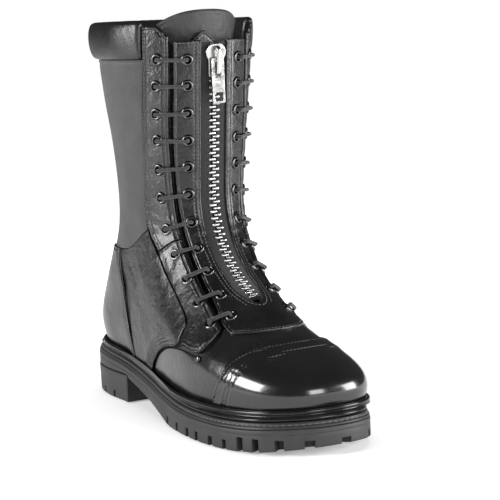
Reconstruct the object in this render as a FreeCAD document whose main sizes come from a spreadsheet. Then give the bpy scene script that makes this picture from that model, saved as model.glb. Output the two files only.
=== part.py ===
# Firefighter's station boot, right foot: leather and nylon upper on a welted rubber lug sole,
# with a zipper unit laced into the front. Millimetres, +Z up, toe towards -Y, outer side of the foot at -X.
import FreeCAD, Part
import math, os
V3 = FreeCAD.Vector

os.makedirs("parts", exist_ok=True)
doc = FreeCAD.newDocument("station_boot")

# ------------------------------------------------------------------ driving dimensions
sheet = doc.addObject("Spreadsheet::Sheet", "dims")
DIMS = [
    ("shift_x", 0.35, "moves the whole boot so that its box is centred on the origin"),
    ("shift_y", 13.95, "same, along the foot"),
    ("gap", 0.3, "clearance between neighbouring pieces"),
    ("main_thick", 1.8, "vamp, ankle and shaft layer"),
    ("over_low", 0.15, "underside of the overlaid pieces above the main layer"),
    ("over_high", 1.75, "outside of the overlaid pieces"),
    ("facing_in", -1.7, "inside of the folded facings"),
    ("facing_out", 1.5, "outside of the folded facings"),
    ("lining_out", -3.3, "outer side of the lining"),
    ("lining_in", -4.6, "inner side of the lining"),
    ("stiff_out", -2.0, "outer side of the stiffeners"),
    ("stiff_in", -3.1, "inner side of the stiffeners"),
    ("collar_bulge", 6.6, "how far the padded collar stands out"),
    ("collar_inner", 6.0, "how far the padded collar stands in"),
    ("shaft_top", 262.0, "top of the shaft under the collar"),
    ("collar_top", 290.0, "top of the collar"),
    ("outsole_drop", 9.3, "top of the outsole below the upper's edge"),
    ("midsole_drop", 4.7, "top of the midsole below the upper's edge"),
    ("welt_drop", 0.25, "top of the welt below the upper's edge"),
    ("layer_gap", 0.2, "gap between the layers of the sole"),
    ("heel_height", 21.5, "height of the heel block"),
    ("heel_breast", 61.0, "where the heel block starts"),
    ("lug_depth", 6.0, "depth of the tread"),
    ("insole_thick", 2.5, "insole board"),
    ("footbed_thick", 4.8, "loose footbed"),
    ("shank_wide", 16.0, "steel shank"),
    ("shank_thick", 1.2, "steel shank"),
    ("pad_tall", 70.0, "working height of the sole blanks"),
    ("pad_wide", 200.0, "working width of the sole cuts"),
    ("eyelet_bore", 4.1, "bore of an eyelet"),
    ("eyelet_rim", 8.8, "rim of an eyelet"),
    ("eyelet_hole", 5.2, "hole punched in the leather"),
    ("lace_dia", 2.6, "round lace"),
    ("tooth_pitch", 4.8, "pitch of the zipper teeth"),
    ("tooth_long", 3.6, "tooth across the chain"),
    ("tooth_tall", 2.3, "tooth along the chain"),
    ("tooth_deep", 3.0, "tooth through the chain"),
    ("chain_slit", 0.65, "half the slit between the two rows of teeth"),
    ("slider_long", 24.0, "slider along the chain"),
    ("slider_wide", 16.0, "slider across its shoulders"),
    ("slider_tail", 11.6, "slider across its tail"),
    ("plate_thick", 1.3, "each plate of the slider"),
    ("plate_room", 1.9, "from the middle of the chain to each plate"),
    ("bail_wide", 3.0, "bail over the slider"),
    ("pull_long", 32.6, "pull tab"),
    ("pull_wide", 10.2, "pull tab"),
    ("pull_thick", 1.6, "pull tab"),
]
for i, (name, value, note) in enumerate(DIMS):
    sheet.set("A%d" % (i+1), name)
    sheet.set("B%d" % (i+1), "%g" % value)
    sheet.setAlias("B%d" % (i+1), name)
    sheet.set("C%d" % (i+1), note)
doc.recompute()
D = {name: float(sheet.get(name)) for name, value, note in DIMS}

# ------------------------------------------------------------------ profile curves
def spline(xs, ys):
    """natural cubic spline, straight beyond its ends"""
    n = len(xs)
    w = [xs[i+1]-xs[i] for i in range(n-1)]
    a = [0.0]*n; b = [1.0]*n; c = [0.0]*n; d = [0.0]*n
    for i in range(1, n-1):
        a[i] = w[i-1]; b[i] = 2*(w[i-1]+w[i]); c[i] = w[i]
        d[i] = 6*((ys[i+1]-ys[i])/w[i]-(ys[i]-ys[i-1])/w[i-1])
    for i in range(1, n):
        k = a[i]/b[i-1]
        b[i] -= k*c[i-1]; d[i] -= k*d[i-1]
    m = [0.0]*n
    m[-1] = d[-1]/b[-1]
    for i in range(n-2, -1, -1):
        m[i] = (d[i]-c[i]*m[i+1])/b[i]
    def f(x):
        if x <= xs[0]:
            return ys[0]+((ys[1]-ys[0])/w[0]-w[0]*(2*m[0]+m[1])/6)*(x-xs[0])
        if x >= xs[-1]:
            return ys[-1]+((ys[-1]-ys[-2])/w[-1]+w[-1]*(2*m[-1]+m[-2])/6)*(x-xs[-1])
        lo, hi = 0, n-1
        while hi-lo > 1:
            mid = (lo+hi)//2
            if xs[mid] <= x: lo = mid
            else: hi = mid
        t = x-xs[lo]; u = xs[hi]-x; k = w[lo]
        return (m[lo]*u**3+m[hi]*t**3)/(6*k)+(ys[lo]/k-m[lo]*k/6)*u+(ys[hi]/k-m[hi]*k/6)*t
    return f

def lin(xs, ys):
    """broken line through points, level beyond its ends"""
    def f(x):
        if x <= xs[0]: return ys[0]
        if x >= xs[-1]: return ys[-1]
        for i in range(len(xs)-1):
            if x <= xs[i+1]:
                return ys[i]+(ys[i+1]-ys[i])*(x-xs[i])/(xs[i+1]-xs[i])
    return f

def smooth(t):
    t = max(0.0, min(1.0, t))
    return t*t*(3-2*t)

# the boot as a stack of closed loops; a loop's level is z
YF = spline([30, 38, 47, 55, 62, 69, 76, 83, 91, 99, 109, 122, 138, 153, 166, 180, 200, 225, 250, 290],
            [-153, -156.5, -154.5, -144, -129, -112, -95.5, -81, -67, -53.5, -39.5, -26.5, -17.3, -13.4, -12.9, -14.1, -16.1, -18.6, -21.1, -25.1])
YB = spline([30, 45, 62, 80, 105, 130, 155, 185, 220, 255, 290],
            [125, 129, 130, 126, 115.5, 106.5, 102, 102.5, 107.5, 112, 115.5])
BZ = [30, 50, 70, 90, 115, 140, 165, 200, 240, 290]
BL = spline(BZ, [46.5, 48, 45.5, 42.5, 40.5, 40, 41.5, 45, 49, 52])
BM = spline(BZ, [44.5, 45, 42, 41.5, 42.5, 43, 43, 45.5, 49, 52.5])
AF = spline([30, 45, 60, 75, 90, 110, 135, 165, 200, 290], [68, 70, 82, 90, 86, 72, 62, 58, 58, 62])
AB = spline([30, 60, 90, 120, 160, 200, 290], [46, 48, 54, 60, 62, 64, 70])
PF = spline([30, 50, 70, 90, 120, 160, 290], [2.55, 2.5, 2.1, 2.05, 2.1, 2.15, 2.1])
PB = spline([30, 90, 160, 290], [2.2, 2.1, 2.0, 2.0])
MY = [-156, -116, -76, -46, -6, 34, 74, 114, 144]
ML = spline(MY, [0, 1.5, 4.5, 3.5, -2, -7, -9, -8.5, -8])
MM = spline(MY, [-2, 0.5, 1.5, 0, -9, -14.5, -11.5, -9.5, -9])
XC = spline([-161, -126, -86, -46, -6, 54, 144], [9, 7, 3.5, 1.0, 0, -1.5, -2.5])
ZS = spline([-167, -137, -107, -67, -27, 13, 53, 93, 143], [29, 26.5, 25, 25, 26.5, 31, 37, 41, 42.5])

NV, DZ, ZLO, ZHI = 64, 2.0, 28.0, 302.0
NZ = int(round((ZHI-ZLO)/DZ))
RN = 2*NV

def loop(z):
    """one loop, points evenly spaced round each side: front centre, medial side, back centre, lateral side"""
    yf, yb = YF(z), YB(z)
    lng = yb-yf
    af, ab, pf, pb = AF(z), AB(z), PF(z), PB(z)
    if af+ab > lng:
        k = lng/(af+ab); af *= k; ab *= k
    bl, bm = BL(z), BM(z)
    low = 1-smooth((z-40)/85.0)
    shrink = 1-0.6*smooth((z-90)/100)
    fade = max(0.0, 1-(z-30.0)/115.0)**2
    sides = {}
    N = 240
    for side in (-1, 1):
        pts = []
        for i in range(N+1):
            t = max((i/N)**1.35, 1e-9)
            y = yf+lng*(1-math.cos(math.pi*t))/2
            half = (bl if side < 0 else bm)+low*(ML(y) if side < 0 else MM(y))
            sf, sb = (y-yf)/af, (yb-y)/ab
            e = 1.0
            if sf < 1: e = max(0.0, 1-(1-max(sf, 0))**pf)**(1/pf)
            if sb < 1: e *= max(0.0, 1-(1-max(sb, 0))**pb)**(1/pb)
            pts.append((XC(y)*shrink+side*half*e, y, z+(ZS(y)-30.0)*fade))
        acc = [0.0]
        for a, b in zip(pts, pts[1:]):
            acc.append(acc[-1]+math.dist(a, b))
        out = []; j = 0
        for i in range(NV+1):
            d = acc[-1]*i/NV
            while j < N-1 and acc[j+1] < d: j += 1
            f = (d-acc[j])/(acc[j+1]-acc[j])
            out.append(tuple(pts[j][c]+f*(pts[j+1][c]-pts[j][c]) for c in range(3)))
        sides[side] = (out, acc[-1])
    return sides[1][0]+sides[-1][0][-2:0:-1], sides[-1][1], sides[1][1]

TABLE = [loop(ZLO+k*DZ) for k in range(NZ+1)]

def cr(p0, p1, p2, p3, t):
    t2 = t*t; t3 = t2*t
    a = -0.5*t3+t2-0.5*t; b = 1.5*t3-2.5*t2+1; c = -1.5*t3+2*t2+0.5*t; d = 0.5*t3-0.5*t2
    return (a*p0[0]+b*p1[0]+c*p2[0]+d*p3[0], a*p0[1]+b*p1[1]+c*p2[1]+d*p3[1], a*p0[2]+b*p1[2]+c*p2[2]+d*p3[2])

def Q(v, z):
    """point of the outer surface: v is the share of the way round (0 front, 1 back, lateral negative)"""
    f = (v % 2.0)*NV
    i = int(math.floor(f)); t = f-i
    g = (z-ZLO)/DZ; k = max(1, min(NZ-2, int(math.floor(g)))); w = g-k
    r = [cr(TABLE[k+j][0][(i-1) % RN], TABLE[k+j][0][i % RN], TABLE[k+j][0][(i+1) % RN], TABLE[k+j][0][(i+2) % RN], t) for j in (-1, 0, 1, 2)]
    return cr(r[0], r[1], r[2], r[3], w)

def normal(v, z):
    a = Q(v+0.004, z); b = Q(v-0.004, z); c = Q(v, z+0.8); d = Q(v, z-0.8)
    p = V3(a[0]-b[0], a[1]-b[1], a[2]-b[2]); q = V3(c[0]-d[0], c[1]-d[1], c[2]-d[2])
    n = p.cross(q); n.normalize()
    return n

SHIFT = V3(D["shift_x"], D["shift_y"], 0)
def S(v, z, off=0.0):
    """point off the outer surface, outwards positive"""
    p = V3(*Q(v, z))
    if off: p = p+normal(v, z)*off
    return p

def length_half(z, side):
    g = (z-ZLO)/DZ; k = max(0, min(NZ-1, int(g))); w = g-k
    i = 1 if side < 0 else 2
    return TABLE[k][i]*(1-w)+TABLE[k+1][i]*w

# ------------------------------------------------------------------ solids of sheet material
def const(x):
    return x if callable(x) else (lambda s, t, v, z: x)

def surface(grid):
    f = Part.BSplineSurface()
    f.interpolate(grid)
    return f

def thick(uv, ns, nt, inner, outer):
    """closed solid between two offsets of the surface over a four-sided patch uv(s, t) -> (v, z)"""
    fi, fo = const(inner), const(outer)
    gi, go = [], []
    for i in range(ns+1):
        ri, ro = [], []
        for j in range(nt+1):
            s, t = i/ns, j/nt
            v, z = uv(s, t)
            p = V3(*Q(v, z)); n = normal(v, z)
            ri.append(p+n*fi(s, t, v, z)); ro.append(p+n*fo(s, t, v, z))
        gi.append(ri); go.append(ro)
    return between(gi, go)

def between(gi, go):
    a, b = surface(gi), surface(go)
    u0, u1, v0, v1 = a.bounds()
    w0, w1, x0, x1 = b.bounds()
    faces = [a.toShape(), b.toShape()]
    for ea, eb in ((a.uIso(u0), b.uIso(w0)), (a.uIso(u1), b.uIso(w1)), (a.vIso(v0), b.vIso(x0)), (a.vIso(v1), b.vIso(x1))):
        faces.append(Part.makeRuledSurface(ea.toShape(), eb.toShape()))
    shell = Part.makeShell(faces)
    shell.sewShape()
    if shell.ShapeType != "Shell":
        shell = shell.Shells[0]
    solid = Part.makeSolid(shell)
    if solid.Volume < 0: solid.reverse()
    if not solid.isValid():
        solid.fix(1e-4, 1e-4, 1e-3)
    return solid

pieces = []
def keep(shape, name):
    """a sub-part whose shape is set directly; it is moved to its place after that"""
    solids = shape.Solids
    shape = solids[0] if len(solids) == 1 else Part.makeCompound(solids)
    f = doc.addObject("Part::Feature", name)
    f.Label = name
    f.Shape = shape
    f.Placement = FreeCAD.Placement(SHIFT, FreeCAD.Rotation())
    pieces.append(f)
    return f

# ------------------------------------------------------------------ seams, as share v (positive) against level z
FACE_FRONT = spline([60, 73, 82, 95, 110, 126, 140, 168, 198, 234, 262, 278, 292],
                    [0.170, 0.165, 0.160, 0.159, 0.163, 0.174, 0.186, 0.197, 0.202, 0.190, 0.182, 0.179, 0.177])
FACE_REAR = spline([122, 134, 145, 168, 197, 234, 262, 280, 292],
                   [0.318, 0.350, 0.364, 0.352, 0.337, 0.307, 0.289, 0.283, 0.281])
LOWER_REAR = spline([62, 67.3, 74.3, 79.3, 88, 103, 122, 130], [0.368, 0.342, 0.293, 0.267, 0.275, 0.293, 0.310, 0.318])
ARC = [(0.690, 30.35), (0.692, 38), (0.690, 46), (0.675, 59.5), (0.650, 70), (0.609, 81.2), (0.561, 90.7), (0.486, 101.7), (0.415, 110.2), (0.350, 116.1), (0.322, 118.6)]
NYLON = spline([0.30, 0.358, 0.444, 0.527, 0.628, 0.80, 1.0], [144, 139, 130.3, 122.5, 119.5, 119, 119])
VAMP_TOP = [(0.600, 30.35), (0.588, 37), (0.567, 43.5), (0.535, 49.8), (0.503, 53.9), (0.465, 57.5), (0.428, 59.4), (0.359, 60.9), (0.310, 60.2), (0.278, 61.2), (0.223, 67.3), (0.180, 73.0), (0.150, 77.5), (0.10, 79.6), (0.05, 80.2), (0.0, 80.4)]
CAP = (0.298, 39.2, 2.05)
BOX = (0.262, 31.0, 2.05)
VFRONT = (0.268, 32.2, 2.05)
PANEL_EDGE = spline([70, 77.8, 88, 97, 112, 129, 146, 168, 197, 233, 262, 276],
                    [0.156, 0.154, 0.142, 0.138, 0.142, 0.154, 0.168, 0.179, 0.183, 0.171, 0.163, 0.160])
FACE_EYES = [(0.227, 262.5), (0.239, 243.4), (0.249, 223.4), (0.255, 204.2), (0.260, 182.6), (0.258, 161.8), (0.249, 138.5), (0.225, 120.6), (0.204, 104.6), (0.199, 90.4), (0.192, 78.6)]
PANEL_EYES = [(0.111, 261.6), (0.113, 243.1), (0.116, 223.4), (0.119, 203.5), (0.122, 184.3), (0.124, 164.3), (0.121, 143.8), (0.115, 125.4), (0.104, 110.5), (0.103, 95.6), (0.111, 83.6)]

def sampled(points):
    """smooth curve through (v, z) points by their running length"""
    d = [0.0]
    for a, b in zip(points, points[1:]):
        d.append(d[-1]+math.hypot((b[0]-a[0])*300, b[1]-a[1]))
    fv = spline(d, [p[0] for p in points]); fz = spline(d, [p[1] for p in points])
    return lambda t: (fv(t*d[-1]), fz(t*d[-1]))

def bow(shape, v):
    """height of a bow-shaped seam at v"""
    a, b, n = shape
    k = min(1.0, abs(v)/a)
    return 30.35+b*max(0.0, 1-k**n)**(1/n)

def po(z):
    """inside offset of the laced zipper panel: it lies on the vamp below and sinks between the facings above"""
    return -0.7+0.95*(1-smooth((z-84)/34.0))
PANEL_T = 1.6

# ------------------------------------------------------------------ upper
g = D["gap"]
ol, oh = D["over_low"], D["over_high"]

# toe cap: smooth leather over the front of the vamp
def cap_uv(vmax, shape, dz=0.0):
    def f(s, t):
        v = vmax*math.sin((s-0.5)*math.pi)
        return v, 30.35+(bow(shape, v)+dz-30.35)*t
    return f
keep(thick(cap_uv(0.291, CAP), 44, 12, ol, oh), "toe_cap")
# safety toe box under it
keep(thick(cap_uv(0.255, BOX), 48, 14, D["stiff_in"]+0.5, -0.2), "toe_box")

# vamp: from under the toe cap back to the quarters and up to the zipper panel
top = sampled([(-v, z) for v, z in VAMP_TOP]+[(v, z) for v, z in VAMP_TOP[-2::-1]])
def vamp_uv(s, t):
    v1, z1 = top(s)
    X, Z = v1*330.0, z1-30.35
    X, Z = (X, max(Z, 0.0))
    a, b, n = VFRONT
    ang = math.atan2(Z, abs(X))
    k = ((math.cos(ang)/(a*330.0))**n+(math.sin(ang)/b)**n)**(-1/n)
    X0, Z0 = math.copysign(k*math.cos(ang), X), k*math.sin(ang)
    return (X0+(X-X0)*t)/330.0, 30.35+Z0+(Z-Z0)*t
keep(thick(vamp_uv, 72, 10, -D["main_thick"], 0.0), "vamp")

# vamp lining
LT = spline([-0.56, -0.5, -0.43, -0.3, -0.19, 0, 0.19, 0.3, 0.43, 0.5, 0.56], [41, 50, 55.5, 57, 60.5, 62, 60.5, 57, 55.5, 50, 41])
keep(thick(lambda s, t: (-0.56+1.12*s, 30.6+(LT(-0.56+1.12*s)-30.6)*t), 64, 16, D["lining_in"], D["lining_out"]), "vamp_lining")

for side, sg in (("lateral", -1), ("medial", 1)):
    # quarter: sewn over the vamp and the ankle, from the curved rear seam to the lower facing
    arc = sampled(ARC)
    qf = sampled([(0.603, 30.35), (0.590, 37.6), (0.569, 44.2), (0.537, 50.5), (0.505, 54.7), (0.466, 58.3), (0.429, 60.3), (0.395, 62.2), (0.362, 65.3), (0.330, 70.0), (0.300, 74.6), (0.281, 78.6), (0.276, 83), (0.279, 89), (0.287, 97), (0.297, 106), (0.306, 114), (0.313, 120.4)])
    def quarter_uv(s, t, arc=arc, qf=qf):
        a, b = arc(t), qf(t)
        return sg*(a[0]+(b[0]-a[0])*s), a[1]+(b[1]-a[1])*s
    keep(thick(quarter_uv, 16, 40, ol, oh), "quarter_"+side)

    # lower facing with the four lower eyelets
    lr = sampled([(0.345, 63.4), (0.342, 66.2), (0.322, 70.2), (0.295, 74.6), (0.277, 78.4), (0.272, 83), (0.275, 89), (0.283, 97), (0.293, 106), (0.302, 114), (0.309, 122)])
    lb = sampled([(0.345, 63.4), (0.315, 62.3), (0.280, 62.9), (0.252, 65.8), (0.222, 69.2), (0.190, 73.2), (0.168, 76.2)])
    lf = sampled([(0.168, 76.2), (0.161, 82), (0.160, 95), (0.164, 110), (0.175, 126), (0.180, 131.5)])
    lt = sampled([(0.309, 122), (0.270, 125.6), (0.225, 129.6), (0.180, 131.5)])
    def lower_uv(s, t):
        a, b, c, d = lr(t), lf(t), lb(s), lt(s)
        r = []
        for k in (0, 1):
            bil = (1-s)*(1-t)*lb(0)[k]+s*(1-t)*lb(1)[k]+(1-s)*t*lt(0)[k]+s*t*lt(1)[k]
            r.append((1-s)*a[k]+s*b[k]+(1-t)*c[k]+t*d[k]-bil)
        return sg*r[0], r[1]
    lower = thick(lower_uv, 16, 28, D["facing_in"], D["facing_out"])

    # upper facing with the seven upper eyelets, its top corner rounded off
    def upper_uv(s, t):
        # s from the rear seam to the front edge, t upwards
        zb = lt(s)[1]+0.6
        k = 1-s
        zt = 286.2-7.5*smooth((s-0.45)/0.55)**1.6
        z = zb+(zt-zb)*t
        r, f = FACE_REAR(z), FACE_FRONT(z)
        if t < 0.2:
            w = 1-smooth(t/0.2)
            r = r*(1-w)+w*(lt(0)[0]+0.0+(FACE_REAR(z)-FACE_REAR(zb)))
        return sg*(r+(f-r)*s), z
    upper = thick(upper_uv, 12, 44, D["facing_in"], D["facing_out"])

    # punched holes
    def pin(v, z, radius, low, high):
        p = S(sg*v, z); n = normal(sg*v, z)
        return Part.makeCylinder(radius, high-low, p+n*low, n)
    face_pins = [pin(v, z, D["eyelet_hole"]/2, -7.0, 4.0) for v, z in FACE_EYES]
    for c in face_pins[:7]: upper = upper.cut(c)
    for c in face_pins[7:]: lower = lower.cut(c)
    keep(upper, "upper_facing_"+side)
    keep(lower, "lower_facing_"+side)

    # ankle panel under the quarter and the counter
    fr = sampled([(0.612, 30.35), (0.600, 38), (0.578, 45.5), (0.545, 52), (0.512, 56.4), (0.47, 60), (0.43, 62.3), (0.40, 65), (0.366, 70), (0.335, 76), (0.318, 82), (0.318, 92), (0.326, 104), (0.330, 118), (0.352, 128), (0.372, 137.2)])
    def ankle_uv(s, t):
        f0 = fr(t)
        zb = 30.35+(NYLON(0.997)-0.4-30.35)*t
        a = (0.9975, zb)
        v = a[0]+(f0[0]-a[0])*s
        # the top edge follows the nylon
        zlin = a[1]+(f0[1]-a[1])*s
        ztop = NYLON(max(v, 0.372))-0.4 if t > 0.999 else None
        topline = NYLON(max(0.9975+(0.372-0.9975)*s, 0.372))-0.4
        endlin = NYLON(0.997)-0.4+(137.2-NYLON(0.997)+0.4)*s
        z = zlin+(topline-endlin)*t**3
        return sg*v, z
    keep(thick(ankle_uv, 22, 26, -D["main_thick"], 0.0), "ankle_panel_"+side)

    # woven nylon shaft panel
    def shaft_uv(s, t):
        z0 = NYLON(0.9975+(0.372-0.9975)*s)
        z = z0+(D["shaft_top"]-z0)*t
        f = FACE_REAR(z)+0.004
        if t < 0.35:
            w = 1-smooth(t/0.35)
            f = f*(1-w)+w*max(f, 0.372)
        v = 0.9975+(f-0.9975)*s
        return sg*v, z
    keep(thick(shaft_uv, 22, 24, -D["main_thick"], 0.0), "shaft_panel_"+side)

# shaft lining, round the back from facing to facing, with the lace holes
LOW = spline([0.17, 0.22, 0.30, 0.38, 0.43, 0.5, 0.56, 0.60, 0.70, 1.0], [67, 64, 60.5, 59.5, 58, 52.5, 43, 33, 31, 31])
def lining_uv(s, t):
    w = 2*s-1                 # -1 lateral facing, 0 back, +1 medial facing
    k = abs(w)
    v0 = 1-(1-0.168)*k
    z0 = max(30.6, LOW(v0))
    z = z0+(D["shaft_top"]-z0)*t
    v = 1-(1-FACE_FRONT(z)-0.003)*k
    return (-v if w <= 0 else -(2-v)), z
lining = thick(lining_uv, 60, 34, D["lining_in"], D["lining_out"])
for sg in (-1, 1):
    for v, z in FACE_EYES:
        if z < D["shaft_top"]-3:
            p = S(sg*v, z); n = normal(sg*v, z)
            lining = lining.cut(Part.makeCylinder(D["eyelet_hole"]/2, 4.0, p+n*(-6.0), n))
        elif z < D["shaft_top"]+4:
            p = S(sg*v, z); n = normal(sg*v, z)
            lining = lining.cut(Part.makeCylinder(D["eyelet_hole"]/2+1.8, 4.0, p+n*(-6.0), n))
keep(lining, "shaft_lining")

# heel counter cover, one piece round the back, and its stiffener
def counter_uv(s, t):
    w = 2*s-1
    k = abs(w)
    fz = spline([30, 46, 60, 70, 83, 99, 118], [0.700, 0.700, 0.690, 0.676, 0.656, 0.645, 0.642])
    zt = 117.0+2.6*k
    z = 30.35+(zt-30.35)*t
    v = 1-(1-max(fz(z), 0.0))*k
    return (-v if w <= 0 else -(2-v)), z
keep(thick(counter_uv, 40, 20, ol, oh), "heel_counter_cover")
keep(thick(lambda s, t: (-0.66-0.68*s, 33+(84-8*abs(2*s-1)**2-33)*t), 36, 12, D["stiff_in"], D["stiff_out"]), "counter_stiffener")

# back stay up the rear seam
keep(thick(lambda s, t: (-0.955-0.09*s, 118.2+(D["shaft_top"]-118.2)*t), 8, 24, ol, oh), "back_stay")

# padded collar: a roll round the back and sides from facing to facing
def collar_uv(s, t):
    w = 2*s-1
    k = abs(w)
    z = D["shaft_top"]+0.4+(D["collar_top"]-D["shaft_top"]-0.4)*t
    v = 1-(1-FACE_REAR(z)-0.005)*k
    return (-v if w <= 0 else -(2-v)), z
def bulge_out(s, t, v, z):
    k = abs(2*s-1)
    edge = 1-smooth((k-0.86)/0.14)*0.72
    return 0.1+D["collar_bulge"]*edge*max(0.0, math.sin(math.pi*min(1, max(0, t*0.94+0.02))))**0.62
def bulge_in(s, t, v, z):
    return -1.2-D["collar_inner"]*max(0.0, math.sin(math.pi*min(1, max(0, t*0.94+0.02))))**0.7
keep(thick(collar_uv, 56, 14, bulge_in, bulge_out), "collar")

# tongue: padded leather behind the zipper panel, leaning back at its top
TOFF = spline([58, 66, 74, 86, 110, 150, 200, 250, 298], [-5.7, -7.5, -9.8, -10.6, -10.8, -10.8, -10.8, -10.6, -10.4])
TWID = spline([58, 75, 95, 120, 160, 220, 260, 298], [0.125, 0.150, 0.165, 0.195, 0.225, 0.225, 0.245, 0.258])
def tongue_uv(s, t):
    w = 2*s-1
    zt = 295.6-9.0*abs(w)**2.6
    z = 58.5+(zt-58.5)*t
    return TWID(z)*w, z
keep(thick(tongue_uv, 20, 48, lambda s, t, v, z: TOFF(z)-2.8, lambda s, t, v, z: TOFF(z)), "tongue")

# ------------------------------------------------------------------ zipper unit laced into the front
# leather panel: two strips joined below the chain
PB_ = spline([-0.156, -0.152, -0.140, -0.096, -0.05, 0, 0.05, 0.096, 0.140, 0.152, 0.156], [79.0, 76.0, 73.9, 74.6, 75.3, 75.6, 75.3, 74.6, 73.9, 76.0, 79.0])
def panel_uv(s, t):
    w = math.sin((s-0.5)*math.pi)*0.35+(2*s-1)*0.65
    z0 = PB_(0.156*w)
    z = z0+(275.0-z0)*t
    return PANEL_EDGE(z)*w, z
panel = thick(panel_uv, 28, 56, lambda s, t, v, z: po(z), lambda s, t, v, z: po(z)+PANEL_T)
# the slot for the chain, cut along the front line
def strip(x0, x1, za, zb, low, high, n=44):
    """band of the given width across the front line, flat across, between two levels"""
    gi, go = [], []
    for i in range(5):
        ri, ro = [], []
        x = x0+(x1-x0)*i/4
        for j in range(n+1):
            z = za+(zb-za)*j/n
            p = V3(*Q(0, z)); nn = normal(0, z); nn.x = 0; nn.normalize()
            ri.append(V3(p.x+x, p.y, p.z)+nn*low); ro.append(V3(p.x+x, p.y, p.z)+nn*high)
        gi.append(ri); go.append(ro)
    return between(gi, go)
cutter = strip(-10.6, 9.6, 90.0, 279.0, -6.0, 6.0)
panel = panel.cut(cutter)
for sg in (-1, 1):
    for v, z in PANEL_EYES:
        p = S(sg*v, z); n = normal(sg*v, z)
        panel = panel.cut(Part.makeCylinder(D["eyelet_hole"]/2, 10.0, p+n*(-5.0), n))
keep(panel, "zip_panel")

MID = -0.5
MIDLOW = lambda z: MID-0.55*(1-smooth((z-92)/40.0))
# tapes: woven, from beside the teeth to under the leather strips
def tape_uv(sg):
    def f(s, t):
        z = 88.0+(273.5-88.0)*t
        L = length_half(z, sg)
        x = 2.5+(13.4-2.5)*s
        return sg*x/L, z
    return f
for side, sg in (("lateral", -1), ("medial", 1)):
    low = lambda s, t, v, z: min(-0.9, po(z)-1.0)
    high = lambda s, t, v, z: min(-0.9, po(z)-1.0)+0.75
    keep(thick(tape_uv(sg), 6, 52, low, high), "zip_tape_"+side)

# teeth: two rows of metal scoops, a hair apart at the middle
def tooth(z, sg, phase):
    c = V3(*Q(0, z)); n = normal(0, z); n.x = 0; n.normalize()
    t = V3(1, 0, 0).cross(n); t.normalize()
    if t.z < 0: t = t*(-1)
    mid = min(-0.9, po(z)-1.0)+0.375
    a, b = D["chain_slit"], D["chain_slit"]+D["tooth_long"]
    hw, hd = D["tooth_tall"]/2, D["tooth_deep"]/2
    o = c+n*mid
    prof = [(a, -hw*0.72), (a+0.9, -hw), (b-1.0, -hw*0.8), (b, -hw*0.8), (b, hw*0.8), (b-1.0, hw*0.8), (a+0.9, hw), (a, hw*0.72)]
    pts = [o+V3(sg*x, 0, 0)+t*y-n*hd for x, y in prof]
    f = Part.Face(Part.makePolygon(pts+[pts[0]]))
    body = f.extrude(n*(2*hd))
    # the jaws straddle the tape
    e = [o+V3(sg*2.3, 0, 0)-t*3-n*0.625, o+V3(sg*8.0, 0, 0)-t*3-n*0.625, o+V3(sg*8.0, 0, 0)-t*3+n*0.625, o+V3(sg*2.3, 0, 0)-t*3+n*0.625]
    k = Part.Face(Part.makePolygon(e+[e[0]])).extrude(t*6)
    return body.cut(k)
# even steps along the front line
line = [(z, V3(*Q(0, z))) for z in [90.0+0.5*i for i in range(364)]]
run = [0.0]
for a, b in zip(line, line[1:]):
    run.append(run[-1]+a[1].distanceToPoint(b[1]))
def level_at(d):
    for i in range(len(run)-1):
        if run[i+1] >= d:
            f = (d-run[i])/(run[i+1]-run[i])
            return line[i][0]+f*(line[i+1][0]-line[i][0])
    return line[-1][0]
CHAIN_TOP = 268.5
top_run = [r for (z, p), r in zip(line, run) if z <= CHAIN_TOP][-1]
for side, sg, ph in (("lateral", -1, 0.0), ("medial", 1, 0.5)):
    row = []
    d = 8.6+ph*D["tooth_pitch"]
    while d < top_run:
        row.append(tooth(level_at(d), sg, ph))
        d += D["tooth_pitch"]
    keep(Part.makeCompound(row), "zip_teeth_"+side)

def block(z, x0, x1, half, low, high):
    """small metal block across the front line at a level"""
    c = V3(*Q(0, z)); n = normal(0, z); n.x = 0; n.normalize()
    t = V3(1, 0, 0).cross(n); t.normalize()
    if t.z < 0: t = t*(-1)
    mid = min(-0.9, po(z)-1.0)+0.375
    o = c+n*mid
    pts = [o+V3(x0, 0, 0)-t*half+n*low, o+V3(x1, 0, 0)-t*half+n*low, o+V3(x1, 0, 0)-t*half+n*high, o+V3(x0, 0, 0)-t*half+n*high]
    return Part.Face(Part.makePolygon(pts+[pts[0]])).extrude(t*(2*half))
keep(block(92.6, -3.4, 3.4, 1.2, 0.8, 2.4), "zip_bottom_box")
keep(Part.makeCompound([block(271.0, -4.2, -0.9, 1.2, 0.55, 1.7), block(271.0, 0.9, 4.2, 1.2, 0.55, 1.7)]), "zip_top_stops")

# guard flap behind the chain, pointed at its top
def flap_uv(s, t):
    x = -17.0+19.5*s
    zt = 282.0-7.4*abs(2*s-1)
    z = 84.0+(zt-84.0)*t
    L = length_half(z, -1 if x < 0 else 1)
    return x/L, z
keep(thick(flap_uv, 16, 50, lambda s, t, v, z: po(z)-5.6, lambda s, t, v, z: po(z)-4.5), "zip_guard_flap")

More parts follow.
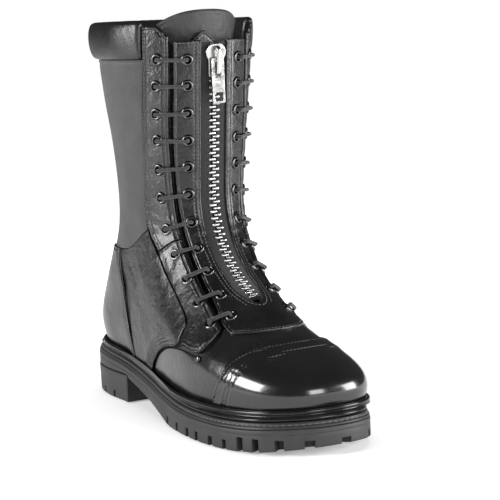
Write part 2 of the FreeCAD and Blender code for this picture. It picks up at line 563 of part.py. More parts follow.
# ------------------------------------------------------------------ eyelets
def ring(p, n, low, high):
    r0, r1, rm = D["eyelet_bore"]/2, D["eyelet_hole"]/2-0.18, D["eyelet_rim"]/2
    prof = [(r0, low-0.7), (rm-0.3, low-0.7), (rm-0.3, low-0.1), (r1, low-0.1), (r1, high+0.15), (rm, high+0.15), (rm, high+0.4), (rm-0.8, high+0.85), (r0+0.5, high+0.85), (r0, high+0.4)]
    pts = [V3(r, 0, h) for r, h in prof]
    f = Part.Face(Part.makePolygon(pts+[pts[0]]))
    s = f.revolve(V3(0, 0, 0), V3(0, 0, 1), 360)
    s = Part.makeSolid(s.Shells[0]) if s.ShapeType != "Solid" else s
    if s.Volume < 0: s.reverse()
    s.Placement = FreeCAD.Placement(p, FreeCAD.Rotation(V3(0, 0, 1), n))
    return s
for side, sg in (("lateral", -1), ("medial", 1)):
    keep(Part.makeCompound([ring(S(sg*v, z), normal(sg*v, z), D["facing_in"]-0.1 if z > 250 else D["lining_in"]-0.25, D["facing_out"]+0.1) for v, z in FACE_EYES]), "facing_eyelets_"+side)
    keep(Part.makeCompound([ring(S(sg*v, z), normal(sg*v, z), po(z)-0.15, po(z)+PANEL_T+0.1) for v, z in PANEL_EYES]), "panel_eyelets_"+side)

# ------------------------------------------------------------------ laces: straight runs joined by small arcs at the eyelets
def rounded(points, radius):
    edges, radii = [], []
    prev = points[0]
    for i in range(1, len(points)-1):
        a, b, c = points[i-1], points[i], points[i+1]
        u = (a-b); w = (c-b)
        lu, lw = u.Length, w.Length
        u.normalize(); w.normalize()
        half = math.acos(max(-1, min(1, u.dot(w))))/2
        r = min(radius, 0.45*min(lu, lw)*math.tan(half))
        cutl = r/math.tan(half)
        p, q = b+u*cutl, b+w*cutl
        bis = u+w; bis.normalize()
        o = b+bis*(r/math.sin(half))
        m = o-bis*r
        edges.append(Part.LineSegment(prev, p).toShape())
        edges.append(Part.Arc(p, m, q).toShape())
        radii.append(r)
        prev = q
    edges.append(Part.LineSegment(prev, points[-1]).toShape())
    return Part.Wire(edges), radii
def tube(wire, radius):
    e = wire.Edges[0]
    p = e.valueAt(e.FirstParameter); d = e.tangentAt(e.FirstParameter)
    c = Part.Wire([Part.makeCircle(radius, p, d)])
    s = wire.makePipeShell([c], True, True)
    if s.ShapeType != "Solid": s = Part.makeSolid(s.Shells[0])
    if s.Volume < 0: s.reverse()
    return s
for side, sg in (("lateral", -1), ("medial", 1)):
    pts = []
    n_eyes = len(FACE_EYES)
    for k in range(n_eyes-1, -1, -1):
        fv, fz = FACE_EYES[k]; pv, pz = PANEL_EYES[k]
        fin = -7.6 if fz < 250 else -6.4
        P_in, P_out = S(sg*pv, pz, po(pz)-6.0), S(sg*pv, pz, po(pz)+5.4)
        F_out, F_in = S(sg*fv, fz, 5.2), S(sg*fv, fz, fin)
        if k == n_eyes-1:
            pts.append(P_in+(S(sg*(pv-0.02), pz+9, po(pz)-6.0)-P_in))
        pts += [P_in, P_out, F_out, F_in]
        if k == 0:
            pts.append(F_in+(S(sg*(fv+0.02), fz-9, fin)-F_in))
    wire, radii = rounded(pts, 2.0)
    lace = tube(wire, D["lace_dia"]/2)
    want = math.pi*(D["lace_dia"]/2)**2*wire.Length
    print("lace_%s length %.0f, volume %.0f against %.0f, radii %.2f to %.2f" % (side, wire.Length, lace.Volume, want, min(radii), max(radii)))
    keep(lace, "lace_"+side)


# ------------------------------------------------------------------ sole: sketched outlines cut to the side profile
OUTLINE = [(9, -167), (31, -160), (46, -138.5), (54.5, -109), (55, -79), (50, -47), (41.5, -12), (36, 23), (35.5, 62), (36.5, 97), (28.5, 121), (14, 135),
           (-4, 139), (-22.5, 136), (-37, 123), (-43.5, 97), (-44, 62), (-46.5, 23), (-51.5, -12), (-56.5, -47), (-57.5, -77), (-53, -108.5), (-41, -138), (-16, -160.5)]

def closed_curve(points, n):
    """periodic smooth curve through points, n samples a span"""
    m = len(points); out = []
    for i in range(m):
        p0, p1, p2, p3 = points[i-1], points[i], points[(i+1) % m], points[(i+2) % m]
        for k in range(n):
            t = k/n
            out.append(tuple(0.5*((2*p1[j])+(-p0[j]+p2[j])*t+(2*p0[j]-5*p1[j]+4*p2[j]-p3[j])*t*t+(-p0[j]+3*p1[j]-3*p2[j]+p3[j])*t**3) for j in range(2)))
    return out

def inset(points, d):
    """closed outline moved inwards by d"""
    m = len(points); out = []
    area = sum(points[i-1][0]*points[i][1]-points[i][0]*points[i-1][1] for i in range(m))
    s = 1 if area > 0 else -1
    for i in range(m):
        a, b = points[i-1], points[(i+1) % m]
        tx, ty = b[0]-a[0], b[1]-a[1]; l = math.hypot(tx, ty)
        out.append((points[i][0]-s*ty/l*d, points[i][1]+s*tx/l*d))
    return out

EDGE = closed_curve(OUTLINE, 3)
FEATHER = []                      # the upper's bottom edge, seen from above
for i in range(72):
    p = Q(-1+2*i/72.0, 30.0)
    FEATHER.append((p[0], p[1]))

def bottom(y):
    """underside of the sole: toe spring, flat tread, arch, heel"""
    if y < -103: return 6.5*((-103-y)/63.0)**2
    if y > -23: return 20.0*(min(y+23, 90)/84.0)**0.9
    return 0.0

def pd_body(name):
    b = doc.addObject("PartDesign::Body", name)
    b.Label = name
    b.Placement = FreeCAD.Placement(SHIFT, FreeCAD.Rotation())
    pieces.append(b)
    return b

def plane(b, role):
    return [f for f in b.Origin.OriginFeatures if f.Role == role][0]

def sketch(b, role, name):
    sk = b.newObject("Sketcher::SketchObject", name)
    sk.AttachmentSupport = (plane(b, role), [""])
    sk.MapMode = "FlatFace"
    return sk

def add_loop(sk, points):
    c = Part.BSplineCurve()
    c.interpolate([V3(x, y, 0) for x, y in points], PeriodicFlag=True)
    sk.addGeometry(c)

def add_poly(sk, points):
    for a, b in zip(points, points[1:]+points[:1]):
        sk.addGeometry(Part.LineSegment(V3(a[0], a[1], 0), V3(b[0], b[1], 0)))

def add_region(sk, curve, level):
    """region between a curve of (y, z) points and a level line"""
    c = Part.BSplineCurve()
    c.interpolate([V3(x, y, 0) for x, y in curve])
    sk.addGeometry(c)
    a, b = curve[0], curve[-1]
    pts = [b, (b[0], level), (a[0], level), a]
    for p, q in zip(pts, pts[1:]):
        sk.addGeometry(Part.LineSegment(V3(p[0], p[1], 0), V3(q[0], q[1], 0)))

def feature(b, kind, name, sk, length, side=None, back=False):
    f = b.newObject("PartDesign::"+kind, name)
    f.Profile = (sk, [""])
    if side: f.SideType = side
    if back: f.Reversed = True
    f.setExpression("Length", length)
    b.Tip = f
    doc.recompute()
    return f

def cut_checked(b, name, sk, length, side=None, back=False):
    before = b.Shape.Volume
    f = feature(b, "Pocket", name, sk, length, side, back)
    if not b.Shape.Volume < before-1.0:
        print("cuts nothing:", b.Label, name)
    return f

YS = [-190+6.0*i for i in range(63)]
def top_line(drop):
    return [(y, ZS(max(-167, min(143, y)))-drop) for y in YS]

def sole_layer(name, outer, inner, top_drop, low_drop, tag):
    b = pd_body(name)
    sk = sketch(b, "XY_Plane", tag+"_outline")
    add_loop(sk, outer)
    if inner: add_loop(sk, inner)
    feature(b, "Pad", tag+"_blank", sk, "dims.pad_tall")
    s2 = sketch(b, "YZ_Plane", tag+"_over")
    add_region(s2, top_line(top_drop), 95.0)
    cut_checked(b, tag+"_top_cut", s2, "dims.pad_wide", "Symmetric")
    s3 = sketch(b, "YZ_Plane", tag+"_under")
    add_region(s3, top_line(low_drop), -25.0)
    cut_checked(b, tag+"_low_cut", s3, "dims.pad_wide", "Symmetric")
    return b

lg = D["layer_gap"]
# outsole
b = pd_body("outsole")
sk = sketch(b, "XY_Plane", "outsole_outline")
add_loop(sk, EDGE)
feature(b, "Pad", "outsole_blank", sk, "dims.pad_tall")
s2 = sketch(b, "YZ_Plane", "outsole_over")
add_region(s2, top_line(D["outsole_drop"]), 95.0)
cut_checked(b, "outsole_top_cut", s2, "dims.pad_wide", "Symmetric")
# underside: arch from the tread up to the heel block
s3 = sketch(b, "YZ_Plane", "outsole_arch")
hb, hh = D["heel_breast"], D["heel_height"]
arch = [(-23.0+i*(hb-1+23.0)/12, bottom(-23.0+i*(hb-1+23.0)/12)) for i in range(13)]
c = Part.BSplineCurve(); c.interpolate([V3(y, z, 0) for y, z in arch]); s3.addGeometry(c)
last = arch[-1]
ring_pts = [last, (last[0], hh+lg), (190.0, hh+lg), (190.0, -25.0), (-23.0, -25.0), arch[0]]
for p, q in zip(ring_pts, ring_pts[1:]):
    s3.addGeometry(Part.LineSegment(V3(p[0], p[1], 0), V3(q[0], q[1], 0)))
cut_checked(b, "outsole_arch_cut", s3, "dims.pad_wide", "Symmetric")
# toe spring
s4 = sketch(b, "YZ_Plane", "outsole_spring")
add_region(s4, [(-190+i*8.7, bottom(-190+i*8.7)) for i in range(11)], -25.0)
cut_checked(b, "outsole_spring_cut", s4, "dims.pad_wide", "Symmetric")

# tread: grooves in from the edge, and cleats down the middle
NOTCH = [(-55.1, -23.6, 3.4), (-59.5, -43.7, 3.4), (-61.8, -62.2, 4.2), (-62.0, -76.2, 3.2), (-60.7, -93.8, 4.6), (-57.5, -109.0, 3.2), (-52.3, -123.3, 4.8), (-45.9, -135.4, 4.4),
         (-33.9, -148.9, 5.6), (-16.5, -161.0, 6.4), (9.0, -167.0, 6.4), (33.5, -157.5, 5.6), (44.5, -141.5, 4.6), (51.0, -124.0, 4.8), (54.5, -107.0, 3.4), (55.3, -90.0, 4.6), (54.3, -73.0, 3.4), (51.0, -57.0, 4.2), (46.5, -41.0, 3.4), (42.0, -25.0, 3.4)]
def groove(x, y, w, deep):
    """rectangle from outside the edge inwards along the outline's normal"""
    i = min(range(len(EDGE)), key=lambda k: (EDGE[k][0]-x)**2+(EDGE[k][1]-y)**2)
    a, c2 = EDGE[i-1], EDGE[(i+1) % len(EDGE)]
    tx, ty = c2[0]-a[0], c2[1]-a[1]; l = math.hypot(tx, ty); tx, ty = tx/l, ty/l
    nx, ny = ty, -tx
    if nx*(x+3)+ny*(y+60) < 0: nx, ny = -nx, -ny
    p = (x+nx*4, y+ny*4); q = (x-nx*deep, y-ny*deep)
    h2 = w/2
    return [(p[0]+tx*h2, p[1]+ty*h2), (q[0]+tx*h2, q[1]+ty*h2), (q[0]-tx*h2, q[1]-ty*h2), (p[0]-tx*h2, p[1]-ty*h2)]
toe, ball = [n for n in NOTCH if n[1] < -115], [n for n in NOTCH if n[1] >= -115]
sheet.set("A%d" % (len(DIMS)+1), "toe_lug_depth"); sheet.set("B%d" % (len(DIMS)+1), "=lug_depth + 4"); sheet.setAlias("B%d" % (len(DIMS)+1), "toe_lug_depth")
doc.recompute()
for tag, group, length in (("ball", ball, "dims.lug_depth"), ("toe", toe, "dims.toe_lug_depth")):
    sk = sketch(b, "XY_Plane", "tread_"+tag)
    for x, y, w in group:
        add_poly(sk, groove(x, y, w, 13.0))
    cut_checked(b, "tread_cut_"+tag, sk, length, back=True)
# middle of the tread: a zigzag of cross grooves that leaves star-shaped cleats
sk = sketch(b, "XY_Plane", "tread_middle")
for k in range(6):
    y0 = -128+18.5*k
    w = 2.2
    cx = -1.5-0.6*k+(4.0 if k < 1 else 0)
    add_poly(sk, [(cx-27, y0-w+5), (cx-9, y0-w), (cx+3, y0-w+7), (cx+24, y0-w+1), (cx+24, y0+w+1), (cx+3, y0+w+7), (cx-9, y0+w), (cx-27, y0+w+5)])
cut_checked(b, "tread_cut_middle", sk, "dims.lug_depth", back=True)

# heel block
b = pd_body("heel_block")
sk = sketch(b, "XY_Plane", "heel_outline")
add_loop(sk, EDGE)
feature(b, "Pad", "heel_blank", sk, "dims.heel_height")
s2 = sketch(b, "XY_Plane", "heel_front")
breast = [(-80, hb-0.0), (-30, hb+0.6), (-3, hb+3.0), (28, hb+0.6), (80, hb)]
c = Part.BSplineCurve(); c.interpolate([V3(x, y, 0) for x, y in breast]); s2.addGeometry(c)
pp = [breast[-1], (80, -190), (-80, -190), breast[0]]
for p, q in zip(pp, pp[1:]):
    s2.addGeometry(Part.LineSegment(V3(p[0], p[1], 0), V3(q[0], q[1], 0)))
cut_checked(b, "heel_front_cut", s2, "dims.pad_tall", back=True)
sk = sketch(b, "XY_Plane", "heel_tread")
for x, y, w in [(-43.2, 84, 3.4), (-42.8, 103, 3.4), (-38.5, 124, 4.0), (-21.5, 141.5, 4.4), (-3, 145, 4.4), (15.5, 141.5, 4.4), (32.5, 124, 4.0), (37, 103, 3.4), (36.6, 84, 3.4)]:
    add_poly(sk, groove(x, y, w, 11.0))
add_poly(sk, [(-22, 92), (16, 92), (16, 96), (-22, 96)])
add_poly(sk, [(-22, 108), (16, 108), (16, 112), (-22, 112)])
add_poly(sk, [(-22, 76), (16, 76), (16, 80), (-22, 80)])
cut_checked(b, "heel_tread_cut", sk, "dims.lug_depth", back=True)

# midsole and welt
sole_layer("midsole", inset(EDGE, 0.9), None, D["midsole_drop"], D["outsole_drop"]-lg, "midsole")
welt_hole = inset(FEATHER, 4.2)
sole_layer("storm_welt", inset(EDGE, 2.2), welt_hole, D["welt_drop"], D["midsole_drop"]-lg, "welt")

# cork filler and steel shank inside the welt
fill = [(x, y) for x, y in inset(FEATHER, 5.0)]
b = sole_layer("cork_filler", fill, None, D["welt_drop"]+0.25, D["midsole_drop"]-lg, "filler")
s5 = sketch(b, "XY_Plane", "filler_end")
add_poly(s5, [(-90, -26), (90, -26), (90, 190), (-90, 190)])
cut_checked(b, "filler_end_cut", s5, "dims.pad_tall", back=True)

b = pd_body("shank")
sk = sketch(b, "YZ_Plane", "shank_profile")
ysh = [-22+10.5*i for i in range(12)]
lowc = [(y, ZS(y)-D["midsole_drop"]+1.2) for y in ysh]
topc = [(y, ZS(y)-D["midsole_drop"]+1.2+D["shank_thick"]) for y in ysh]
for crv in (lowc, topc):
    c = Part.BSplineCurve(); c.interpolate([V3(y, z, 0) for y, z in crv]); sk.addGeometry(c)
for a, c2 in ((lowc[0], topc[0]), (lowc[-1], topc[-1])):
    sk.addGeometry(Part.LineSegment(V3(a[0], a[1], 0), V3(c2[0], c2[1], 0)))
feature(b, "Pad", "shank_strip", sk, "dims.shank_wide", "Symmetric")

# insole board and the loose footbed on it
sole_layer("insole_board", inset(FEATHER, 5.2), None, -(D["insole_thick"]+0.1), -0.1, "insole")
sole_layer("footbed", inset(FEATHER, 6.4), None, -(D["insole_thick"]+0.3+D["footbed_thick"]), -(D["insole_thick"]+0.3), "footbed")

# ------------------------------------------------------------------ slider and pull, drawn flat and then set on the chain
# local frame: x across the chain, y up the chain, z away from the foot; origin at the middle of the slider on the chain's middle plane
def chain_point(z):
    c = V3(*Q(0, z)); n = normal(0, z); n.x = 0; n.normalize()
    return c+n*(min(-0.9, po(z)-1.0)+0.375)
hi, lo = chain_point(266.0), chain_point(172.0)
UP = hi-lo; UP.x = 0; UP.normalize()
OUTW = V3(1, 0, 0).cross(UP); OUTW.normalize()
if OUTW.y > 0: OUTW = OUTW*(-1)
AX = UP.cross(OUTW); AX.normalize()
SL_Z = 260.3
base = hi+UP*((SL_Z-266.0)/UP.z); base.x = (hi.x+lo.x)/2
ROT = FreeCAD.Rotation(FreeCAD.Matrix(AX.x, UP.x, OUTW.x, 0, AX.y, UP.y, OUTW.y, 0, AX.z, UP.z, OUTW.z, 0, 0, 0, 0, 1))
dev = max(abs((chain_point(z)-hi).dot(OUTW)) for z in range(166, 274, 2))
print("chain straightness over the slider's run: %.2f mm" % dev)
def place(obj, at=V3(0, 0, 0)):
    obj.Placement = FreeCAD.Placement(base+ROT.multVec(at)+SHIFT, ROT)

hl = D["slider_long"]/2; w1 = D["slider_wide"]/2; w0 = D["slider_tail"]/2
pr_, pt_ = D["plate_room"], D["plate_thick"]
b = doc.addObject("PartDesign::Body", "slider_body"); b.Label = "slider_body"; pieces.append(b)
# outline with rounded shoulders at the top and a narrower tail
shape_pts = [(-w0, -hl), (-w0, -hl*0.35), (-w1, hl*0.30), (-w1, hl*0.62), (-w1*0.62, hl*0.98), (-1.8, hl), (1.8, hl), (w1*0.62, hl*0.98), (w1, hl*0.62), (w1, hl*0.30), (w0, -hl*0.35), (w0, -hl)]
sheet.set("A%d" % (len(DIMS)+2), "slider_deep"); sheet.set("B%d" % (len(DIMS)+2), "=2 * (plate_room + plate_thick)"); sheet.setAlias("B%d" % (len(DIMS)+2), "slider_deep")
sheet.set("A%d" % (len(DIMS)+3), "channel_deep"); sheet.set("B%d" % (len(DIMS)+3), "=2 * plate_room"); sheet.setAlias("B%d" % (len(DIMS)+3), "channel_deep")
sheet.set("A%d" % (len(DIMS)+4), "web_thick"); sheet.set("B%d" % (len(DIMS)+4), "0.5"); sheet.setAlias("B%d" % (len(DIMS)+4), "web_thick")
sheet.set("A%d" % (len(DIMS)+5), "bail_deep"); sheet.set("B%d" % (len(DIMS)+5), "=bail_wide"); sheet.setAlias("B%d" % (len(DIMS)+5), "bail_deep")
doc.recompute()
sk = sketch(b, "XY_Plane", "slider_outline")
add_poly(sk, shape_pts)
feature(b, "Pad", "slider_blank", sk, "dims.slider_deep", "Symmetric")
# channel for the teeth and the tape, leaving a thin web between the rows
sk = sketch(b, "XY_Plane", "slider_channel")
wb = 0.25
add_poly(sk, [(-20, -hl-1), (-wb, -hl-1), (-wb, hl+1), (-20, hl+1)])
add_poly(sk, [(20, -hl-1), (wb, -hl-1), (wb, hl+1), (20, hl+1)])
cut_checked(b, "slider_channel_cut", sk, "dims.channel_deep", "Symmetric")
# flanges that hold the rows in, above and below the tape
sk = sketch(b, "XZ_Plane", "slider_flanges")
tz = pr_
xi = D["chain_slit"]+D["tooth_long"]+0.45
for sx in (-1, 1):
    for sz in (-1, 1):
        add_poly(sk, [(sx*xi, sz*1.15), (sx*(w0-0.05), sz*1.15), (sx*(w0-0.05), sz*(pr_+0.3)), (sx*xi, sz*(pr_+0.3))])
sheet.set("A%d" % (len(DIMS)+6), "flange_long"); sheet.set("B%d" % (len(DIMS)+6), "=slider_long - 3"); sheet.setAlias("B%d" % (len(DIMS)+6), "flange_long")
doc.recompute()
feature(b, "Pad", "slider_flange_pad", sk, "dims.flange_long", "Symmetric")
# bail: an arch along the slider that carries the pull
sk = sketch(b, "YZ_Plane", "bail_profile")
zt0 = pr_+pt_
arch_out = [(-10.6, zt0-0.2), (-10.6, zt0+2.6), (-9.2, zt0+4.3), (8.8, zt0+4.3), (10.6, zt0+2.4), (10.6, zt0-0.2)]
arch_in = [(8.6, zt0-0.2), (8.6, zt0+1.9), (7.9, zt0+2.9), (-0.4, zt0+2.9), (-0.9, zt0+2.3), (-0.9, zt0-0.2)]
add_poly(sk, arch_out+arch_in)
feature(b, "Pad", "bail_pad", sk, "dims.bail_wide", "Symmetric")
place(b)
print("slider solids", len(b.Shape.Solids), "volume %.0f" % b.Shape.Volume)

# pull: frame round the bail, plain plate, square hole at its end; drawn hanging, hinge at its own origin
b = doc.addObject("PartDesign::Body", "zip_pull"); b.Label = "zip_pull"; pieces.append(b)
pw, pl = D["pull_wide"]/2, D["pull_long"]
sk = sketch(b, "XY_Plane", "pull_outline")
add_poly(sk, [(-pw+0.9, 0.8), (pw-0.9, 0.8), (pw, -0.3), (pw, -pl+1.9), (pw-1.1, -pl+0.8), (-pw+1.1, -pl+0.8), (-pw, -pl+1.9), (-pw, -0.3)])
add_poly(sk, [(-2.5, -0.8), (2.5, -0.8), (2.5, -13.6), (-2.5, -13.6)])
add_poly(sk, [(-3.4, -24.0), (3.4, -24.0), (3.4, -30.0), (-3.4, -30.0)])
feature(b, "Pad", "pull_plate", sk, "dims.pull_thick", "Symmetric")
HINGE = V3(0, 1.4, zt0+1.45)
# the pull hangs straight down from its hinge
PULL_ROT = FreeCAD.Rotation(FreeCAD.Matrix(1, 0, 0, 0, 0, 0, -1, 0, 0, 1, 0, 0, 0, 0, 0, 1))
b.Placement = FreeCAD.Placement(base+ROT.multVec(HINGE)+SHIFT, PULL_ROT)
hinge_world = base+ROT.multVec(HINGE)+SHIFT
print("slider base", [round(c, 3) for c in (base+SHIFT)], "UP", [round(c, 6) for c in UP], "hinge", [round(c, 3) for c in hinge_world], "OUT", [round(c, 6) for c in OUTW])

# ------------------------------------------------------------------ write
doc.recompute()
bad = [o.Name for o in doc.Objects if "Invalid" in o.State or "Error" in o.State]
for p in pieces:
    if p.Shape.isNull() or not p.Shape.isValid():
        bad.append(p.Label)
print("objects not right:", bad)
for p in pieces:
    p.Shape.exportStep("parts/%s.step" % p.Label)
    b = p.Shape.BoundBox
    print("%-26s solids %3d volume %9.1f  x %.1f..%.1f y %.1f..%.1f z %.1f..%.1f" % (p.Label, len(p.Shape.Solids), p.Shape.Volume, b.XMin, b.XMax, b.YMin, b.YMax, b.ZMin, b.ZMax))
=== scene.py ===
import math
import bpy
import bmesh
import numpy as np
from mathutils import Matrix, Vector


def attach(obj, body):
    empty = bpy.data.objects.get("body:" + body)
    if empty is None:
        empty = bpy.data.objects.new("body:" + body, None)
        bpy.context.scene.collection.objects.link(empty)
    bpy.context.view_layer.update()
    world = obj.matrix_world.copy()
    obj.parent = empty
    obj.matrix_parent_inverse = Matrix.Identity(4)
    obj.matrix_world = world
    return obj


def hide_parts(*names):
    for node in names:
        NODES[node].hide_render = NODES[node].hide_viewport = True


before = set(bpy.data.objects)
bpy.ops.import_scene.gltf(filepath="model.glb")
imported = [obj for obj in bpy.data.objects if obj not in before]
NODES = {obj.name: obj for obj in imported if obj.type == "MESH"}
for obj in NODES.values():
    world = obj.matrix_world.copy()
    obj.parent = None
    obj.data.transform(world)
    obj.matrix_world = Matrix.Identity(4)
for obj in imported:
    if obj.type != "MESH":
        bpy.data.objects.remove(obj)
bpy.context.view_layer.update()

MM = 0.001

# ------------------------------------------------------------------ the boot's outer surface, as in the CAD
def spline(xs, ys):
    n = len(xs)
    w = [xs[i+1]-xs[i] for i in range(n-1)]
    a = [0.0]*n; b = [1.0]*n; c = [0.0]*n; d = [0.0]*n
    for i in range(1, n-1):
        a[i] = w[i-1]; b[i] = 2*(w[i-1]+w[i]); c[i] = w[i]
        d[i] = 6*((ys[i+1]-ys[i])/w[i]-(ys[i]-ys[i-1])/w[i-1])
    for i in range(1, n):
        k = a[i]/b[i-1]
        b[i] -= k*c[i-1]; d[i] -= k*d[i-1]
    m = [0.0]*n
    m[-1] = d[-1]/b[-1]
    for i in range(n-2, -1, -1):
        m[i] = (d[i]-c[i]*m[i+1])/b[i]
    def f(x):
        if x <= xs[0]:
            return ys[0]+((ys[1]-ys[0])/w[0]-w[0]*(2*m[0]+m[1])/6)*(x-xs[0])
        if x >= xs[-1]:
            return ys[-1]+((ys[-1]-ys[-2])/w[-1]+w[-1]*(2*m[-1]+m[-2])/6)*(x-xs[-1])
        lo, hi = 0, n-1
        while hi-lo > 1:
            mid = (lo+hi)//2
            if xs[mid] <= x: lo = mid
            else: hi = mid
        t = x-xs[lo]; u = xs[hi]-x; k = w[lo]
        return (m[lo]*u**3+m[hi]*t**3)/(6*k)+(ys[lo]/k-m[lo]*k/6)*u+(ys[hi]/k-m[hi]*k/6)*t
    return f

def smooth(t):
    t = max(0.0, min(1.0, t))
    return t*t*(3-2*t)

def nsmooth(t):
    t = np.clip(t, 0, 1)
    return t*t*(3-2*t)

YF = spline([30, 38, 47, 55, 62, 69, 76, 83, 91, 99, 109, 122, 138, 153, 166, 180, 200, 225, 250, 290],
            [-153, -156.5, -154.5, -144, -129, -112, -95.5, -81, -67, -53.5, -39.5, -26.5, -17.3, -13.4, -12.9, -14.1, -16.1, -18.6, -21.1, -25.1])
YB = spline([30, 45, 62, 80, 105, 130, 155, 185, 220, 255, 290],
            [125, 129, 130, 126, 115.5, 106.5, 102, 102.5, 107.5, 112, 115.5])
BZ = [30, 50, 70, 90, 115, 140, 165, 200, 240, 290]
BL = spline(BZ, [46.5, 48, 45.5, 42.5, 40.5, 40, 41.5, 45, 49, 52])
BM = spline(BZ, [44.5, 45, 42, 41.5, 42.5, 43, 43, 45.5, 49, 52.5])
AF = spline([30, 45, 60, 75, 90, 110, 135, 165, 200, 290], [68, 70, 82, 90, 86, 72, 62, 58, 58, 62])
AB = spline([30, 60, 90, 120, 160, 200, 290], [46, 48, 54, 60, 62, 64, 70])
PF = spline([30, 50, 70, 90, 120, 160, 290], [2.55, 2.5, 2.1, 2.05, 2.1, 2.15, 2.1])
PB = spline([30, 90, 160, 290], [2.2, 2.1, 2.0, 2.0])
MY = [-156, -116, -76, -46, -6, 34, 74, 114, 144]
ML = spline(MY, [0, 1.5, 4.5, 3.5, -2, -7, -9, -8.5, -8])
MMD = spline(MY, [-2, 0.5, 1.5, 0, -9, -14.5, -11.5, -9.5, -9])
XC = spline([-161, -126, -86, -46, -6, 54, 144], [9, 7, 3.5, 1.0, 0, -1.5, -2.5])
ZS = spline([-167, -137, -107, -67, -27, 13, 53, 93, 143], [29, 26.5, 25, 25, 26.5, 31, 37, 41, 42.5])
NV, DZ, ZLO, ZHI = 64, 2.0, 28.0, 302.0
NZ = int(round((ZHI-ZLO)/DZ))
RN = 2*NV
SHX, SHY = 0.35, 13.95

def loop(z):
    yf, yb = YF(z), YB(z)
    lng = yb-yf
    af, ab, pf, pb = AF(z), AB(z), PF(z), PB(z)
    if af+ab > lng:
        k = lng/(af+ab); af *= k; ab *= k
    bl, bm = BL(z), BM(z)
    low = 1-smooth((z-40)/85.0)
    shrink = 1-0.6*smooth((z-90)/100)
    fade = max(0.0, 1-(z-30.0)/115.0)**2
    sides = {}
    N = 240
    for side in (-1, 1):
        pts = []
        for i in range(N+1):
            t = max((i/N)**1.35, 1e-9)
            y = yf+lng*(1-math.cos(math.pi*t))/2
            half = (bl if side < 0 else bm)+low*(ML(y) if side < 0 else MMD(y))
            sf, sb = (y-yf)/af, (yb-y)/ab
            e = 1.0
            if sf < 1: e = max(0.0, 1-(1-max(sf, 0))**pf)**(1/pf)
            if sb < 1: e *= max(0.0, 1-(1-max(sb, 0))**pb)**(1/pb)
            pts.append((XC(y)*shrink+side*half*e, y, z+(ZS(y)-30.0)*fade))
        acc = [0.0]
        for a, b in zip(pts, pts[1:]):
            acc.append(acc[-1]+math.dist(a, b))
        out = []; j = 0
        for i in range(NV+1):
            d = acc[-1]*i/NV
            while j < N-1 and acc[j+1] < d: j += 1
            f = (d-acc[j])/(acc[j+1]-acc[j])
            out.append(tuple(pts[j][c]+f*(pts[j+1][c]-pts[j][c]) for c in range(3)))
        sides[side] = (out, acc[-1])
    return sides[1][0]+sides[-1][0][-2:0:-1], sides[-1][1], sides[1][1]

_T = [loop(ZLO+k*DZ) for k in range(NZ+1)]
TABLE = np.array([t[0] for t in _T])            # level, round, xyz
LEN = np.array([[t[1], t[2]] for t in _T])      # half lengths, lateral and medial

def _w(t):
    t2 = t*t; t3 = t2*t
    return np.stack([-0.5*t3+t2-0.5*t, 1.5*t3-2.5*t2+1, -1.5*t3+2*t2+0.5*t, 0.5*t3-0.5*t2], -1)

def Q(v, z):
    """points of the outer surface in mm, arrays in, (..., 3) out"""
    v = np.asarray(v, float); z = np.asarray(z, float)
    f = (v % 2.0)*NV
    i = np.floor(f).astype(int); wt = _w(f-i)
    g = (z-ZLO)/DZ; k = np.clip(np.floor(g).astype(int), 1, NZ-2); wz = _w(g-k)
    out = 0
    for a in range(4):
        row = 0
        for b in range(4):
            row = row+wt[..., b:b+1]*TABLE[k+a-1, (i+b-1) % RN]
        out = out+wz[..., a:a+1]*row
    return out

def normal(v, z):
    p = Q(np.asarray(v)+0.004, z)-Q(np.asarray(v)-0.004, z)
    q = Q(v, np.asarray(z)+0.8)-Q(v, np.asarray(z)-0.8)
    n = np.cross(p, q)
    return n/np.linalg.norm(n, axis=-1, keepdims=True)

def half_len(z, side):
    return np.interp(z, ZLO+DZ*np.arange(NZ+1), LEN[:, 0 if side < 0 else 1])

SHIFT = np.array([SHX, SHY, 0.0])

# soft waves, always the same
_rng = np.random.default_rng(7)
_DIR = _rng.normal(size=(24, 3)); _DIR /= np.linalg.norm(_DIR, axis=1, keepdims=True)
_PH = _rng.random(24)*6.283
def waves(P, scale, first=0, count=8):
    """smooth noise of about -1..1 with features of the given size in mm"""
    r = 0
    for k in range(first, first+count):
        r = r+np.sin(P@_DIR[k]*(2*math.pi/scale)*(0.75+0.07*((k*5) % 8))+_PH[k])
    return r/math.sqrt(count)/1.4

# ------------------------------------------------------------------ seams and panels, as in the CAD
FACE_FRONT = spline([60, 73, 82, 95, 110, 126, 140, 168, 198, 234, 262, 278, 292],
                    [0.170, 0.165, 0.160, 0.159, 0.163, 0.174, 0.186, 0.197, 0.202, 0.190, 0.182, 0.179, 0.177])
FACE_REAR = spline([122, 134, 145, 168, 197, 234, 262, 280, 292],
                   [0.318, 0.350, 0.364, 0.352, 0.337, 0.307, 0.289, 0.283, 0.281])
ARC = [(0.690, 30.35), (0.692, 38), (0.690, 46), (0.675, 59.5), (0.650, 70), (0.609, 81.2), (0.561, 90.7), (0.486, 101.7), (0.415, 110.2), (0.350, 116.1), (0.322, 118.6)]
NYLON = spline([0.30, 0.358, 0.444, 0.527, 0.628, 0.80, 1.0], [144, 139, 130.3, 122.5, 119.5, 119, 119])
VAMP_TOP = [(0.600, 30.35), (0.588, 37), (0.567, 43.5), (0.535, 49.8), (0.503, 53.9), (0.465, 57.5), (0.428, 59.4), (0.359, 60.9), (0.310, 60.2), (0.278, 61.2), (0.223, 67.3), (0.180, 73.0), (0.150, 77.5), (0.10, 79.6), (0.05, 80.2), (0.0, 80.4)]
CAP = (0.298, 39.2, 2.05)
VFRONT = (0.268, 32.2, 2.05)
